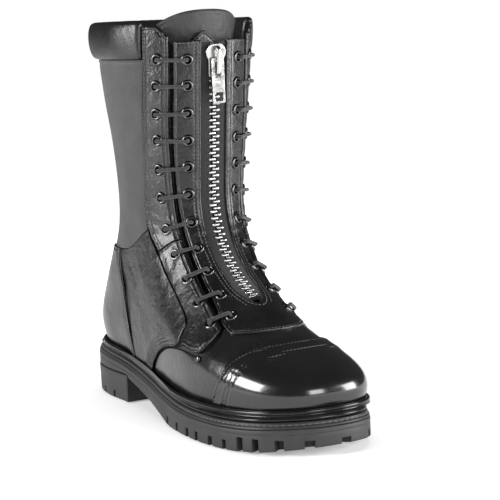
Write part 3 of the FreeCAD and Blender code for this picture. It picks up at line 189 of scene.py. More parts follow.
PANEL_EDGE = spline([70, 77.8, 88, 97, 112, 129, 146, 168, 197, 233, 262, 276],
                    [0.156, 0.154, 0.142, 0.138, 0.142, 0.154, 0.168, 0.179, 0.183, 0.171, 0.163, 0.160])
FACE_EYES = [(0.227, 262.5), (0.239, 243.4), (0.249, 223.4), (0.255, 204.2), (0.260, 182.6), (0.258, 161.8), (0.249, 138.5), (0.225, 120.6), (0.204, 104.6), (0.199, 90.4), (0.192, 78.6)]
PANEL_EYES = [(0.111, 261.6), (0.113, 243.1), (0.116, 223.4), (0.119, 203.5), (0.122, 184.3), (0.124, 164.3), (0.121, 143.8), (0.115, 125.4), (0.104, 110.5), (0.103, 95.6), (0.111, 83.6)]

def sampled(points):
    d = [0.0]
    for a, b in zip(points, points[1:]):
        d.append(d[-1]+math.hypot((b[0]-a[0])*300, b[1]-a[1]))
    fv = spline(d, [p[0] for p in points]); fz = spline(d, [p[1] for p in points])
    return lambda t: (fv(t*d[-1]), fz(t*d[-1]))

def bow(shape, v):
    a, b, n = shape
    k = min(1.0, abs(v)/a)
    return 30.35+b*max(0.0, 1-k**n)**(1/n)

def po(z):
    t = np.clip((np.asarray(z, float)-84)/34.0, 0, 1)
    return -0.7+0.95*(1-t*t*(3-2*t))
PANEL_T = 1.6
SHAFT_TOP, COLLAR_TOP = 262.0, 290.0

# ------------------------------------------------------------------ mesh helpers
def put(name, verts, faces, mat, body="boot", replaces=(), uv=None, smooth_deg=50, mats=None, face_mats=None):
    """a mesh object from points in mm"""
    me = bpy.data.meshes.new(name)
    co = (np.asarray(verts, float)+SHIFT)*MM
    me.from_pydata([tuple(p) for p in co], [], [tuple(int(i) for i in f) for f in faces])
    me.validate()
    me.update()
    if uv is not None:
        layer = me.uv_layers.new(name="UVMap")
        idx = np.empty(len(me.loops), dtype=np.int32)
        me.loops.foreach_get("vertex_index", idx)
        layer.data.foreach_set("uv", np.asarray(uv, np.float32)[idx].ravel())
    for f in me.polygons:
        f.use_smooth = True
    if smooth_deg:
        me.set_sharp_from_angle(angle=math.radians(smooth_deg))
    o = bpy.data.objects.new(name, me)
    bpy.context.scene.collection.objects.link(o)
    for m in (mats or [mat]):
        me.materials.append(m)
    if face_mats is not None:
        me.polygons.foreach_set("material_index", np.asarray(face_mats, np.int32))
    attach(o, body)
    if replaces:
        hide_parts(*replaces)
    return o

def params(length, step, fine=True):
    """parameter values along a side, closer together near both ends"""
    ends = [0.0, 0.12, 0.3, 0.55, 0.85, 1.2, 1.7, 2.4] if fine else [0.0]
    n = max(2, int((length-2*ends[-1])/step))
    mid = np.linspace(ends[-1], length-ends[-1], n+1)
    d = np.concatenate([ends[:-1], mid, [length-e for e in ends[-2::-1]]]) if fine else mid
    return np.clip(d/length, 0, 1)

def seg_dist(P, line):
    """distance from points (n, 3) to a broken line (m, 3)"""
    best = np.full(len(P), 1e9)
    a, b = line[:-1], line[1:]
    d = b-a; L2 = np.maximum((d**2).sum(1), 1e-12)
    for i in range(0, len(P), 4000):
        p = P[i:i+4000]
        t = np.clip(((p[:, None]-a[None])*d[None]).sum(2)/L2[None], 0, 1)
        q = a[None]+t[..., None]*d[None]
        best[i:i+4000] = np.sqrt(((p[:, None]-q)**2).sum(2)).min(1)
    return best

class Patch:
    """a sheet of leather or cloth over part of the outer surface, with rolled edges, sewn grooves and stitches"""
    def __init__(self, name, uv, ls, lt, low, high, mat, slot, step=1.4, roll=1.2, grooves=(), bumps=None, replaces=(), holes=(), edges="s0 s1 t0 t1", fine=True, closed=False, extra=None, puff=0.0):
        self.uv, self.low, self.high, self.roll, self.bumps, self.extra, self.puff = uv, low, high, roll, bumps, extra, puff
        S, T = params(ls, step, fine), params(lt, step, fine)
        if extra: S, T = extra(S, T)
        V = np.empty((len(S), len(T))); Z = np.empty_like(V)
        for i, s in enumerate(S):
            for j, t in enumerate(T):
                V[i, j], Z[i, j] = uv(float(s), float(t))
        self.V, self.Z, self.S, self.T = V, Z, S, T
        P, N = Q(V, Z), normal(V, Z)
        self.P, self.N = P, N
        fl = P.reshape(-1, 3)
        self.lines = {}
        for e in ("s0", "s1", "t0", "t1"):
            k = 0.0 if e[1] == "0" else 1.0
            pts = [uv(k, x) if e[0] == "s" else uv(x, k) for x in np.linspace(0, 1, 140)]
            self.lines[e] = pts
        self.edge3 = {e: Q(np.array([p[0] for p in pts]), np.array([p[1] for p in pts])) for e, pts in self.lines.items()}
        self.dist = {e: seg_dist(fl, self.edge3[e]).reshape(V.shape) for e in edges.split()}
        self.grooves = grooves
        hi = self.offset(P, V, Z, self.dist)
        lo = low(V, Z) if callable(low) else np.full_like(V, low)
        hi = np.maximum(hi, lo+0.05)
        self.outer = P+N*hi[..., None]
        self.inner = P+N*lo[..., None]
        ni, nj = V.shape
        ids = np.arange(ni*nj).reshape(ni, nj)
        off = ni*nj
        keep = np.ones((ni-1, nj-1), bool)
        if len(holes):
            c = (self.outer[1:, 1:]+self.outer[:-1, :-1])/2
            for h in holes:
                hp = Q(h[0], h[1])+normal(h[0], h[1])*1.0
                keep &= np.linalg.norm(c-hp, axis=2) > h[2]
        faces = []
        for i in range(ni-1):
            for j in range(nj-1):
                if keep[i, j]:
                    faces.append((ids[i, j], ids[i+1, j], ids[i+1, j+1], ids[i, j+1]))
                    faces.append((off+ids[i, j], off+ids[i, j+1], off+ids[i+1, j+1], off+ids[i+1, j]))
        ring = [(i, 0) for i in range(ni)]+[(ni-1, j) for j in range(1, nj)]+[(i, nj-1) for i in range(ni-2, -1, -1)]+[(0, j) for j in range(nj-2, 0, -1)]
        for a, b in zip(ring, ring[1:]+ring[:1]):
            faces.append((ids[b], ids[a], off+ids[a], off+ids[b]))
        U = np.abs(V)*0
        L = np.where(V < 0, -half_len(Z, -1), half_len(Z, 1))*np.abs(V)
        uvs = np.stack([L, Z], -1).reshape(-1, 2)*MM
        flip = np.cross(P[1, 0]-P[0, 0], P[0, 1]-P[0, 0])@N[0, 0] < 0 if np.linalg.norm(np.cross(P[1, 0]-P[0, 0], P[0, 1]-P[0, 0])) > 1e-9 else np.cross(P[ni//2+1, nj//2]-P[ni//2, nj//2], P[ni//2, nj//2+1]-P[ni//2, nj//2])@N[ni//2, nj//2] < 0
        if np.cross(P[ni//2+1, nj//2]-P[ni//2, nj//2], P[ni//2, nj//2+1]-P[ni//2, nj//2])@N[ni//2, nj//2] < 0:
            faces = [f[::-1] for f in faces]
        self.obj = put(name, np.concatenate([self.outer.reshape(-1, 3), self.inner.reshape(-1, 3)]), faces, mat, replaces=replaces, uv=np.concatenate([uvs, uvs]))

    def offset(self, P, V, Z, dist):
        hi = self.high(V, Z) if callable(self.high) else np.full(V.shape, float(self.high))
        lo = self.low(V, Z) if callable(self.low) else np.full(V.shape, float(self.low))
        if self.puff and dist:
            near = np.minimum.reduce([d for d in dist.values()])
            hi = hi+self.puff*nsmooth(near/9.0)
        drop = 0
        for e, d in dist.items():
            r = self.roll.get(e, 0) if isinstance(self.roll, dict) else self.roll
            if r:
                x = np.clip(d/r, 0, 1)
                depth = np.minimum(r, (hi-lo)*0.86)
                drop = np.maximum(drop, depth*(1-np.sqrt(np.maximum(0, 1-(1-x)**2))))
        hi = hi-drop
        for g in self.grooves:
            e, d0, w, depth = g[:4]
            if e in dist:
                m = 1.0
                if len(g) > 4: m = g[4](V, Z)
                hi = hi-1.75*depth*m*np.exp(-((dist[e]-d0)/w)**2)
                if depth > 0:
                    for k in (-1, 1): hi = hi+0.55*depth*m*np.exp(-((dist[e]-d0-k*2.5*w)/(1.3*w))**2)
        if self.bumps is not None:
            hi = hi+self.bumps(P, V, Z)
        return hi

    def row(self, edge, d0, lo=0.0, hi=1.0, lift=0.12):
        """points and normals of a stitch row at d0 mm inside an edge"""
        pts = self.lines[edge]
        n = len(pts)
        v = np.array([p[0] for p in pts]); z = np.array([p[1] for p in pts])
        a, b = int(lo*(n-1)), int(hi*(n-1))+1
        P = Q(v, z); N = normal(v, z)
        t = np.gradient(P, axis=0); t /= np.linalg.norm(t, axis=1, keepdims=True)
        m = np.cross(N, t); m /= np.linalg.norm(m, axis=1, keepdims=True)
        mid = self.P[self.P.shape[0]//2, self.P.shape[1]//2]
        # inward sense from a neighbouring line of the patch
        k = {"s0": (1.0, 0), "s1": (-1.0, 0), "t0": (0, 1.0), "t1": (0, -1.0)}[edge]
        e0 = 0.0 if edge[1] == "0" else 1.0
        step = 0.04 if edge[1] == "0" else -0.04
        inn = [self.uv(e0+step, x) if edge[0] == "s" else self.uv(x, e0+step) for x in np.linspace(0, 1, n)]
        D = Q(np.array([p[0] for p in inn]), np.array([p[1] for p in inn]))-P
        sgn = np.sign((m*D).sum(1)); sgn[sgn == 0] = 1
        m = m*np.where(np.median(sgn) > 0, 1, -1)
        vv, zz = v.copy(), z.copy()
        for it in range(3):
            cur = Q(vv, zz)
            want = P+m*d0
            r = want-cur
            jv = (Q(vv+0.002, zz)-Q(vv-0.002, zz))/0.004
            jz = (Q(vv, zz+0.5)-Q(vv, zz-0.5))/1.0
            a11 = (jv*jv).sum(1); a12 = (jv*jz).sum(1); a22 = (jz*jz).sum(1)
            b1 = (jv*r).sum(1); b2 = (jz*r).sum(1)
            det = a11*a22-a12*a12
            vv = vv+(b1*a22-b2*a12)/det; zz = zz+(a11*b2-a12*b1)/det
        vv, zz = vv[a:b], zz[a:b]
        P2, N2 = Q(vv, zz), normal(vv, zz)
        dist = {e: seg_dist(P2, self.edge3[e]) for e in self.dist}
        off = self.offset(P2, vv, zz, dist)
        return P2+N2*(off+lift)[:, None], N2

_cap = [(-1.0, 0.35), (-0.8, 0.72), (-0.4, 1.0), (0.4, 1.0), (0.8, 0.72), (1.0, 0.35)]
def stitches(name, rows, mat, pitch=3.1, long=2.35, r=0.36, sink=0.16, body="boot"):
    """thread: one small bead of thread a stitch, along each row (points, normals)"""
    verts, faces = [], []
    for P, N in rows:
        seg = np.linalg.norm(np.diff(P, axis=0), axis=1)
        acc = np.concatenate([[0], np.cumsum(seg)])
        if acc[-1] < pitch: continue
        n = int(acc[-1]/pitch)
        at = (np.arange(n)+0.5)*acc[-1]/n
        c = np.stack([np.interp(at, acc, P[:, k]) for k in range(3)], 1)
        nn = np.stack([np.interp(at, acc, N[:, k]) for k in range(3)], 1)
        q = np.stack([np.interp(np.clip(at+0.6, 0, acc[-1]), acc, P[:, k]) for k in range(3)], 1)-np.stack([np.interp(np.clip(at-0.6, 0, acc[-1]), acc, P[:, k]) for k in range(3)], 1)
        q /= np.linalg.norm(q, axis=1, keepdims=True)
        nn -= q*(nn*q).sum(1, keepdims=True); nn /= np.linalg.norm(nn, axis=1, keepdims=True)
        b = np.cross(q, nn)
        for k in range(n):
            base = len(verts)
            for f, w in _cap:
                for h in range(6):
                    th = math.pi*h/3
                    verts.append(c[k]+q[k]*(f*long/2)+b[k]*(math.cos(th)*r*w)+nn[k]*(math.sin(th)*r*w*0.8-sink*f*f))
            for i in range(len(_cap)-1):
                for h in range(6):
                    a0 = base+i*6+h; a1 = base+i*6+(h+1) % 6
                    faces.append((a0, a1, a1+6, a0+6))
            faces.append(tuple(base+h for h in range(5, -1, -1)))
            faces.append(tuple(base+30+h for h in range(6)))
    if verts:
        return put(name, verts, faces, mat, body=body, smooth_deg=0)

# ------------------------------------------------------------------ materials
def mat_new(name):
    m = bpy.data.materials.new(name)
    m.use_nodes = True
    nt = m.node_tree
    nt.nodes.clear()
    out = nt.nodes.new("ShaderNodeOutputMaterial")
    b = nt.nodes.new("ShaderNodeBsdfPrincipled")
    nt.links.new(b.outputs[0], out.inputs[0])
    return m, nt, b

def coords(nt, what="Object", scale=(1000, 1000, 1000)):
    tc = nt.nodes.new("ShaderNodeTexCoord")
    mp = nt.nodes.new("ShaderNodeMapping")
    mp.inputs["Scale"].default_value = scale
    nt.links.new(tc.outputs[what], mp.inputs["Vector"])
    return mp.outputs[0]

def noise(nt, vec, scale, detail=3.0, rough=0.55):
    n = nt.nodes.new("ShaderNodeTexNoise")
    n.inputs["Scale"].default_value = scale; n.inputs["Detail"].default_value = detail; n.inputs["Roughness"].default_value = rough
    nt.links.new(vec, n.inputs["Vector"])
    return n.outputs[0]

def voronoi(nt, vec, scale, feature="F1", rand=1.0):
    n = nt.nodes.new("ShaderNodeTexVoronoi")
    n.feature = feature
    n.inputs["Scale"].default_value = scale; n.inputs["Randomness"].default_value = rand
    nt.links.new(vec, n.inputs["Vector"])
    return n.outputs["Distance"]

def math_(nt, op, a, b=None, c=None, clamp=False):
    n = nt.nodes.new("ShaderNodeMath"); n.operation = op; n.use_clamp = clamp
    for i, x in enumerate((a, b, c)):
        if x is None: continue
        if hasattr(x, "links"): nt.links.new(x, n.inputs[i])
        else: n.inputs[i].default_value = x
    return n.outputs[0]

def ramp(nt, fac, stops):
    n = nt.nodes.new("ShaderNodeValToRGB")
    while len(n.color_ramp.elements) < len(stops): n.color_ramp.elements.new(0.5)
    for e, (p, c) in zip(n.color_ramp.elements, stops):
        e.position = p; e.color = (*c, 1) if len(c) == 3 else (c[0],)*3+(1,)
    nt.links.new(fac, n.inputs[0])
    return n.outputs[0]

def bump(nt, height, strength, dist, normal_in=None):
    n = nt.nodes.new("ShaderNodeBump")
    n.inputs["Strength"].default_value = strength; n.inputs["Distance"].default_value = dist
    nt.links.new(height, n.inputs["Height"])
    if normal_in is not None: nt.links.new(normal_in, n.inputs["Normal"])
    return n.outputs[0]

def leather(name, col=0.004, rough=(0.26, 0.40), grain=1.0, coat=0.25, coat_rough=0.22, wear=0.02, grain_size=1.3):
    m, nt, b = mat_new(name)
    v = coords(nt)
    cells = voronoi(nt, v, 1.0/grain_size)
    fine = noise(nt, v, 2.0, 4, 0.6)
    big = noise(nt, v, 0.045, 3, 0.5)
    mid = noise(nt, v, 0.17, 4, 0.6)
    h = math_(nt, "ADD", math_(nt, "MULTIPLY", cells, 0.7), math_(nt, "MULTIPLY", fine, 0.4))
    n1 = bump(nt, mid, 0.50*grain, 0.0020)
    n2 = bump(nt, h, 0.60*grain, 0.00024, n1)
    nt.links.new(n2, b.inputs["Normal"])
    r = ramp(nt, math_(nt, "ADD", math_(nt, "MULTIPLY", big, 0.7), math_(nt, "MULTIPLY", fine, 0.3)), [(0.30, (rough[0],)), (0.72, (rough[1],))])
    nt.links.new(r, b.inputs["Roughness"])
    c = ramp(nt, big, [(0.3, (col*0.8, col*0.8, col*0.82)), (0.7, (col*1.3+wear*0.1, col*1.3+wear*0.1, col*1.32+wear*0.1))])
    nt.links.new(c, b.inputs["Base Color"])
    b.inputs["Coat Weight"].default_value = coat
    b.inputs["Coat Roughness"].default_value = coat_rough
    b.inputs["Specular IOR Level"].default_value = 0.55
    return m

def polished(name):
    m, nt, b = mat_new(name)
    v = coords(nt)
    big = noise(nt, v, 0.03, 2, 0.5)
    fine = noise(nt, v, 0.5, 4, 0.6)
    n1 = bump(nt, big, 0.12, 0.002)
    n2 = bump(nt, fine, 0.025, 0.0003, n1)
    nt.links.new(n2, b.inputs["Normal"])
    r = ramp(nt, fine, [(0.35, (0.20,)), (0.7, (0.27,))])
    nt.links.new(r, b.inputs["Roughness"])
    c = ramp(nt, big, [(0.3, (0.006, 0.006, 0.0065)), (0.7, (0.010, 0.010, 0.0105))])
    nt.links.new(c, b.inputs["Base Color"])
    b.inputs["Coat Weight"].default_value = 0.8
    b.inputs["Coat Roughness"].default_value = 0.13
    b.inputs["Specular IOR Level"].default_value = 0.5
    return m

def weave(name, col=0.05, pitch=1.5, uvmap=True, strength=0.6, sheen=0.35, rough=0.8, twill=False, contrast=0.45):
    """plain basket weave from two crossed waves, on the UV map in metres or on object coordinates"""
    m, nt, b = mat_new(name)
    v = coords(nt, "UV" if uvmap else "Object")
    sep = nt.nodes.new("ShaderNodeSeparateXYZ"); nt.links.new(v, sep.inputs[0])
    k = 2*math.pi/pitch
    x, y = sep.outputs[0], (sep.outputs[1] if uvmap else sep.outputs[2])
    if twill:
        y = math_(nt, "ADD", y, math_(nt, "MULTIPLY", x, 0.8))
    sx = math_(nt, "SINE", math_(nt, "MULTIPLY", x, k))
    sy = math_(nt, "SINE", math_(nt, "MULTIPLY", y, k))
    over = math_(nt, "MULTIPLY", sx, sy)                       # checker of overs and unders
    fib = noise(nt, v, 3.2, 3, 0.6)
    h = math_(nt, "ADD", math_(nt, "MULTIPLY", over, 0.5), math_(nt, "MULTIPLY", fib, 0.5))
    big = noise(nt, v, 0.06, 3, 0.55)
    n1 = bump(nt, big, 0.15, 0.001)
    n2 = bump(nt, h, strength, 0.00035, n1)
    nt.links.new(n2, b.inputs["Normal"])
    f = math_(nt, "ADD", math_(nt, "MULTIPLY", over, 0.22), math_(nt, "ADD", math_(nt, "MULTIPLY", fib, 0.6), math_(nt, "MULTIPLY", big, 0.4)))
    c = ramp(nt, f, [(0.2, (col*(1-contrast),)*3), (0.8, (col*(1+contrast),)*3)])
    nt.links.new(c, b.inputs["Base Color"])
    b.inputs["Roughness"].default_value = rough
    b.inputs["Sheen Weight"].default_value = sheen
    b.inputs["Sheen Roughness"].default_value = 0.45
    b.inputs["Specular IOR Level"].default_value = 0.35
    return m

def rubber(name, col=0.03, rough=(0.42, 0.62), strength=0.35):
    m, nt, b = mat_new(name)
    v = coords(nt)
    fine = noise(nt, v, 1.6, 5, 0.65)
    big = noise(nt, v, 0.05, 3, 0.5)
    n2 = bump(nt, fine, strength, 0.00025, bump(nt, big, 0.15, 0.0015))
    nt.links.new(n2, b.inputs["Normal"])
    nt.links.new(ramp(nt, big, [(0.3, (rough[0],)), (0.7, (rough[1],))]), b.inputs["Roughness"])
    c = ramp(nt, math_(nt, "ADD", math_(nt, "MULTIPLY", big, 0.6), math_(nt, "MULTIPLY", fine, 0.4)), [(0.3, (col*0.75,)*3), (0.7, (col*1.35, col*1.35, col*1.38))])
    nt.links.new(c, b.inputs["Base Color"])
    b.inputs["Specular IOR Level"].default_value = 0.42
    return m

def metal(name, col=(0.62, 0.62, 0.60), rough=(0.16, 0.34), worn=0.0):
    m, nt, b = mat_new(name)
    v = coords(nt)
    fine = noise(nt, v, 1.3, 5, 0.65)
    big = noise(nt, v, 0.15, 3, 0.6)
    nt.links.new(bump(nt, fine, 0.18, 0.0001), b.inputs["Normal"])
    nt.links.new(ramp(nt, big, [(0.3, (rough[0],)), (0.75, (rough[1],))]), b.inputs["Roughness"])
    c = ramp(nt, big, [(0.25, tuple(x*0.8 for x in col)), (0.65, col)])
    nt.links.new(c, b.inputs["Base Color"])
    b.inputs["Metallic"].default_value = 1.0
    return m

def enamel(name, col=0.012):
    m, nt, b = mat_new(name)
    v = coords(nt)
    fine = noise(nt, v, 0.9, 4, 0.6)
    nt.links.new(bump(nt, fine, 0.2, 0.00015), b.inputs["Normal"])
    nt.links.new(ramp(nt, fine, [(0.3, (0.16,)), (0.7, (0.30,))]), b.inputs["Roughness"])
    nt.links.new(ramp(nt, fine, [(0.45, (col,)*3), (0.8, (col*2.2,)*3)]), b.inputs["Base Color"])
    b.inputs["Coat Weight"].default_value = 0.6
    b.inputs["Coat Roughness"].default_value = 0.12
    return m

def thread(name, col=0.02):
    m, nt, b = mat_new(name)
    v = coords(nt)
    fib = noise(nt, v, 6.0, 3, 0.6)
    nt.links.new(bump(nt, fib, 0.5, 0.0001), b.inputs["Normal"])
    nt.links.new(ramp(nt, fib, [(0.3, (col*0.6,)*3), (0.7, (col*1.6,)*3)]), b.inputs["Base Color"])
    b.inputs["Roughness"].default_value = 0.42
    b.inputs["Sheen Weight"].default_value = 0.25
    return m

def grainy(name, cols, scale=0.5, rough=0.85):
    m, nt, b = mat_new(name)
    v = coords(nt)
    n = noise(nt, v, scale, 5, 0.7)
    nt.links.new(bump(nt, n, 0.5, 0.0005), b.inputs["Normal"])
    nt.links.new(ramp(nt, n, [(0.35, cols[0]), (0.65, cols[1])]), b.inputs["Base Color"])
    b.inputs["Roughness"].default_value = rough
    return m

M_LEATHER = leather("leather_smooth")
M_VAMP = leather("leather_vamp", col=0.006, rough=(0.24, 0.34), grain=0.45, coat=0.5, coat_rough=0.16)
M_QUARTER = leather("leather_quarter", col=0.006, rough=(0.28, 0.40), grain=1.2, coat=0.35, coat_rough=0.22, grain_size=1.5)
M_PAD = leather("leather_padded", col=0.006, rough=(0.34, 0.46), grain=0.6, coat=0.2, coat_rough=0.3)
M_TONGUE = leather("leather_tongue", col=0.030, rough=(0.52, 0.66), grain=1.2, coat=0.0)
M_TOE = polished("leather_toe")
M_NYLON = weave("nylon_weave", col=0.055, pitch=1.9, strength=0.9, contrast=0.6)
M_LINING = weave("lining_cloth", col=0.035, pitch=1.1, uvmap=False, strength=0.5, sheen=0.5)
M_TAPE = weave("zip_tape_cloth", col=0.022, pitch=0.9, strength=0.6, twill=True)
M_SOLE = rubber("sole_rubber", col=0.034)
M_MID = rubber("midsole_rubber", col=0.026, rough=(0.34, 0.5))
M_WELT = rubber("welt_rubber", col=0.012, rough=(0.14, 0.22), strength=0.10)
M_METAL = metal("zip_metal", col=(0.60, 0.60, 0.59), rough=(0.22, 0.36))
M_SLIDER = metal("slider_metal", col=(0.50, 0.50, 0.495), rough=(0.16, 0.28))
M_EYELET = metal("eyelet_metal", col=(0.12, 0.12, 0.122), rough=(0.18, 0.32))
M_BOX = enamel("zip_box_enamel")
M_THREAD = thread("sewing_thread", 0.07)
M_FOOTBED = weave("footbed_cloth", col=0.04, pitch=1.6, uvmap=False, strength=0.5)
M_CORK = grainy("cork", [(0.22, 0.12, 0.05), (0.5, 0.33, 0.18)], 0.4)
M_BOARD = grainy("fibre_board", [(0.28, 0.22, 0.15), (0.4, 0.33, 0.24)], 0.8)
M_SHELL = grainy("composite_shell", [(0.15, 0.15, 0.15), (0.24, 0.24, 0.24)], 0.3, 0.6)
M_STEEL = metal("shank_steel", (0.5, 0.51, 0.52), (0.25, 0.4))
M_DARK = thread("shadow_cloth", 0.004)

def carry(node_name, mat):
    me = NODES[node_name].data
    me.materials.clear()
    me.materials.append(mat)
for n, m in {"toe_box": M_SHELL, "vamp_lining": M_LINING, "shaft_lining": M_LINING, "counter_stiffener": M_SHELL, "cork_filler": M_CORK, "shank": M_STEEL,
             "insole_board": M_BOARD, "footbed": M_FOOTBED, "zip_bottom_box": M_BOX, "zip_top_stops": M_METAL}.items():
    carry(n, m)

# ------------------------------------------------------------------ upper
OL, OH = 0.15, 1.75
def leather_bumps(amp=0.22, scale=26.0, first=0):
    return lambda P, V, Z: amp*waves(P, scale, first)

def dimples(eyes, sg, depth=0.55, rad=6.2):
    c = np.array([Q(np.array([sg*v]), np.array([float(z)]))[0] for v, z in eyes])
    def f(P):
        r = 0
        for p in c:
            d2 = ((P-p)**2).sum(-1)
            r = r-depth*np.exp(-d2/(rad*rad))
        return r
    return f

pieces_rows = {}
def sew(key, patch, edge, d0, lo=0.0, hi=1.0, lift=0.10):
    pieces_rows.setdefault(key, []).append(patch.row(edge, d0, lo, hi, lift))

# toe cap
def cap_uv(s, t):
    v = 0.291*math.sin((s-0.5)*math.pi)
    return v, 30.35+(bow(CAP, v)-30.35)*t
def cap_fade(V, Z):
    return nsmooth((Z-33.0)/5.0)
cap = Patch("toe_cap_leather", cap_uv, 192, 40, OL, OH, M_TOE, "leather_toe", step=1.5, roll={"t1": 1.5, "t0": 0.4, "s0": 0, "s1": 0}, edges="t1 t0",
            grooves=[("t1", 2.4, 0.6, 0.42), ("t1", 10.3, 0.55, 0.44), ("t1", 13.4, 0.55, 0.44)], replaces=["toe_cap"])
sew("toe_cap", cap, "t1", 2.4, 0.02, 0.98)
sew("toe_cap", cap, "t1", 10.3, 0.06, 0.94)
sew("toe_cap", cap, "t1", 13.4, 0.075, 0.925)

# vamp
top = sampled([(-v, z) for v, z in VAMP_TOP]+[(v, z) for v, z in VAMP_TOP[-2::-1]])
def vamp_uv(s, t):
    v1, z1 = top(s)
    X, Z = v1*330.0, max(z1-30.35, 0.0)
    a, b, n = VFRONT
    ang = math.atan2(Z, abs(X))
    k = ((math.cos(ang)/(a*330.0))**n+(math.sin(ang)/b)**n)**(-1/n)
    X0, Z0 = math.copysign(k*math.cos(ang), X), k*math.sin(ang)
    return (X0+(X-X0)*t)/330.0, 30.35+Z0+(Z-Z0)*t
vamp = Patch("vamp_leather", vamp_uv, 300, 52, -1.8, 0.0, M_VAMP, "leather_smooth", step=1.8, roll=0.5, edges="t1 s0 s1",
             bumps=leather_bumps(0.14, 34.0, 2), replaces=["vamp"])

def creases(P, V, Z, lo, hi, amp, pitch, skew=0.0):
    m = nsmooth((Z-lo)/8.0)*nsmooth((hi-Z)/8.0)
    ph = Z*(2*math.pi/pitch)+skew*np.abs(V)*60+1.8*waves(P, 22.0, 9)
    return amp*m*np.sin(ph)*(0.55+0.45*waves(P, 17.0, 3))

for side, sg in (("lateral", -1), ("medial", 1)):
    arc = sampled(ARC)
    qf = sampled([(0.603, 30.35), (0.590, 37.6), (0.569, 44.2), (0.537, 50.5), (0.505, 54.7), (0.466, 58.3), (0.429, 60.3), (0.395, 62.2), (0.362, 65.3), (0.330, 70.0), (0.300, 74.6), (0.281, 78.6), (0.276, 83), (0.279, 89), (0.287, 97), (0.297, 106), (0.306, 114), (0.313, 120.4)])
    def quarter_uv(s, t):
        a, b = arc(t), qf(t)
        return sg*(a[0]+(b[0]-a[0])*s), a[1]+(b[1]-a[1])*s
    # the sewn band where the quarter laps over the vamp: rows only along the lower part of that edge
    def band(V, Z):
        return 1-nsmooth((Z-60.0)/5.0)
    q = Patch("quarter_"+side+"_leather", quarter_uv, 95, 100, OL, OH, M_QUARTER, "leather_smooth", step=1.35, roll={"s0": 1.2, "s1": 0.9, "t0": 0.2, "t1": 0.4},
              grooves=[("s1", 1.5, 0.55, 0.36, band), ("s1", 4.5, 0.55, 0.36, band), ("s1", 7.5, 0.55, 0.36, band), ("s1", 10.3, 0.45, 0.25, band), ("s0", 1.7, 0.4, 0.18)],
              bumps=leather_bumps(0.26, 24.0, 5), puff=0.25, replaces=["quarter_"+side])
    for d in (1.5, 4.5, 7.5):
        sew("quarter_"+side, q, "s1", d, 0.03, 0.53)
    sew("quarter_"+side, q, "s0", 1.7, 0.0, 1.0)

    # lower facing
    lr = sampled([(0.345, 63.4), (0.342, 66.2), (0.322, 70.2), (0.295, 74.6), (0.277, 78.4), (0.272, 83), (0.275, 89), (0.283, 97), (0.293, 106), (0.302, 114), (0.309, 122)])
    lb = sampled([(0.345, 63.4), (0.315, 62.3), (0.280, 62.9), (0.252, 65.8), (0.222, 69.2), (0.190, 73.2), (0.168, 76.2)])
    lf = sampled([(0.168, 76.2), (0.161, 82), (0.160, 95), (0.164, 110), (0.175, 126), (0.180, 131.5)])
    lt = sampled([(0.309, 122), (0.270, 125.6), (0.225, 129.6), (0.180, 131.5)])
    def lower_uv(s, t):
        a, b, c, d = lr(t), lf(t), lb(s), lt(s)
        r = []
        for k in (0, 1):
            bil = (1-s)*(1-t)*lb(0)[k]+s*(1-t)*lb(1)[k]+(1-s)*t*lt(0)[k]+s*t*lt(1)[k]
            r.append((1-s)*a[k]+s*b[k]+(1-t)*c[k]+t*d[k]-bil)
        return sg*r[0], r[1]
    dl = dimples(FACE_EYES[7:], sg, 0.5, 5.6)
    lowband = lambda V, Z: nsmooth((0.34-np.abs(V))*60)*nsmooth((np.abs(V)-0.20)*60)
    lo_ = Patch("lower_facing_"+side+"_leather", lower_uv, 44, 66, -1.7, 1.5, M_LEATHER, "leather_smooth", step=1.0, roll={"s0": 0.7, "s1": 1.5, "t0": 1.0, "t1": 1.3},
                grooves=[("s1", 3.3, 0.55, 0.36), ("t0", 1.6, 0.5, 0.32), ("t0", 4.4, 0.5, 0.3, lowband), ("t1", 1.5, 0.4, 0.22)],
                bumps=lambda P, V, Z: dl(P)+0.16*waves(P, 18.0, 1)+0.12*waves(P, 7.0, 11), holes=[(np.float64(sg*v), np.float64(z), 2.9) for v, z in FACE_EYES[7:]], replaces=["lower_facing_"+side])
    sew("facing_"+side, lo_, "s1", 3.3, 0.03, 0.98)
    sew("facing_"+side, lo_, "t0", 1.6, 0.05, 0.95)
    sew("facing_"+side, lo_, "t0", 4.4, 0.05, 0.55)
    sew("facing_"+side, lo_, "t1", 1.5, 0.05, 0.95)

    # upper facing
    def upper_uv(s, t):
        zb = lt(s)[1]+0.6
        zt = 286.2-7.5*smooth((s-0.45)/0.55)**1.6
        z = zb+(zt-zb)*t
        r, f = FACE_REAR(z), FACE_FRONT(z)
        if t < 0.2:
            w = 1-smooth(t/0.2)
            r = r*(1-w)+w*(lt(0)[0]+(FACE_REAR(z)-FACE_REAR(zb)))
        return sg*(r+(f-r)*s), z
    du = dimples(FACE_EYES[:7], sg, 0.6, 6.0)
    up = Patch("upper_facing_"+side+"_leather", upper_uv, 26, 162, -1.7, 1.5, M_LEATHER, "leather_smooth", step=1.0, roll={"s0": 1.0, "s1": 1.6, "t0": 0.5, "t1": 1.5},
               grooves=[("s1", 3.6, 0.6, 0.40), ("s0", 1.3, 0.4, 0.25), ("s0", 3.6, 0.4, 0.22), ("t1", 2.6, 0.5, 0.35)],
               bumps=lambda P, V, Z: du(P)+0.20*waves(P, 19.0, 4)+creases(P, V, Z, 118, 160, 0.22, 8.5), holes=[(np.float64(sg*v), np.float64(z), 2.9) for v, z in FACE_EYES[:7]], replaces=["upper_facing_"+side])
    sew("facing_"+side, up, "s1", 3.6, 0.02, 0.985)
    sew("facing_"+side, up, "s0", 1.3, 0.0, 1.0)
    sew("facing_"+side, up, "s0", 3.6, 0.0, 1.0)
    sew("facing_"+side, up, "t1", 2.6, 0.08, 0.86)

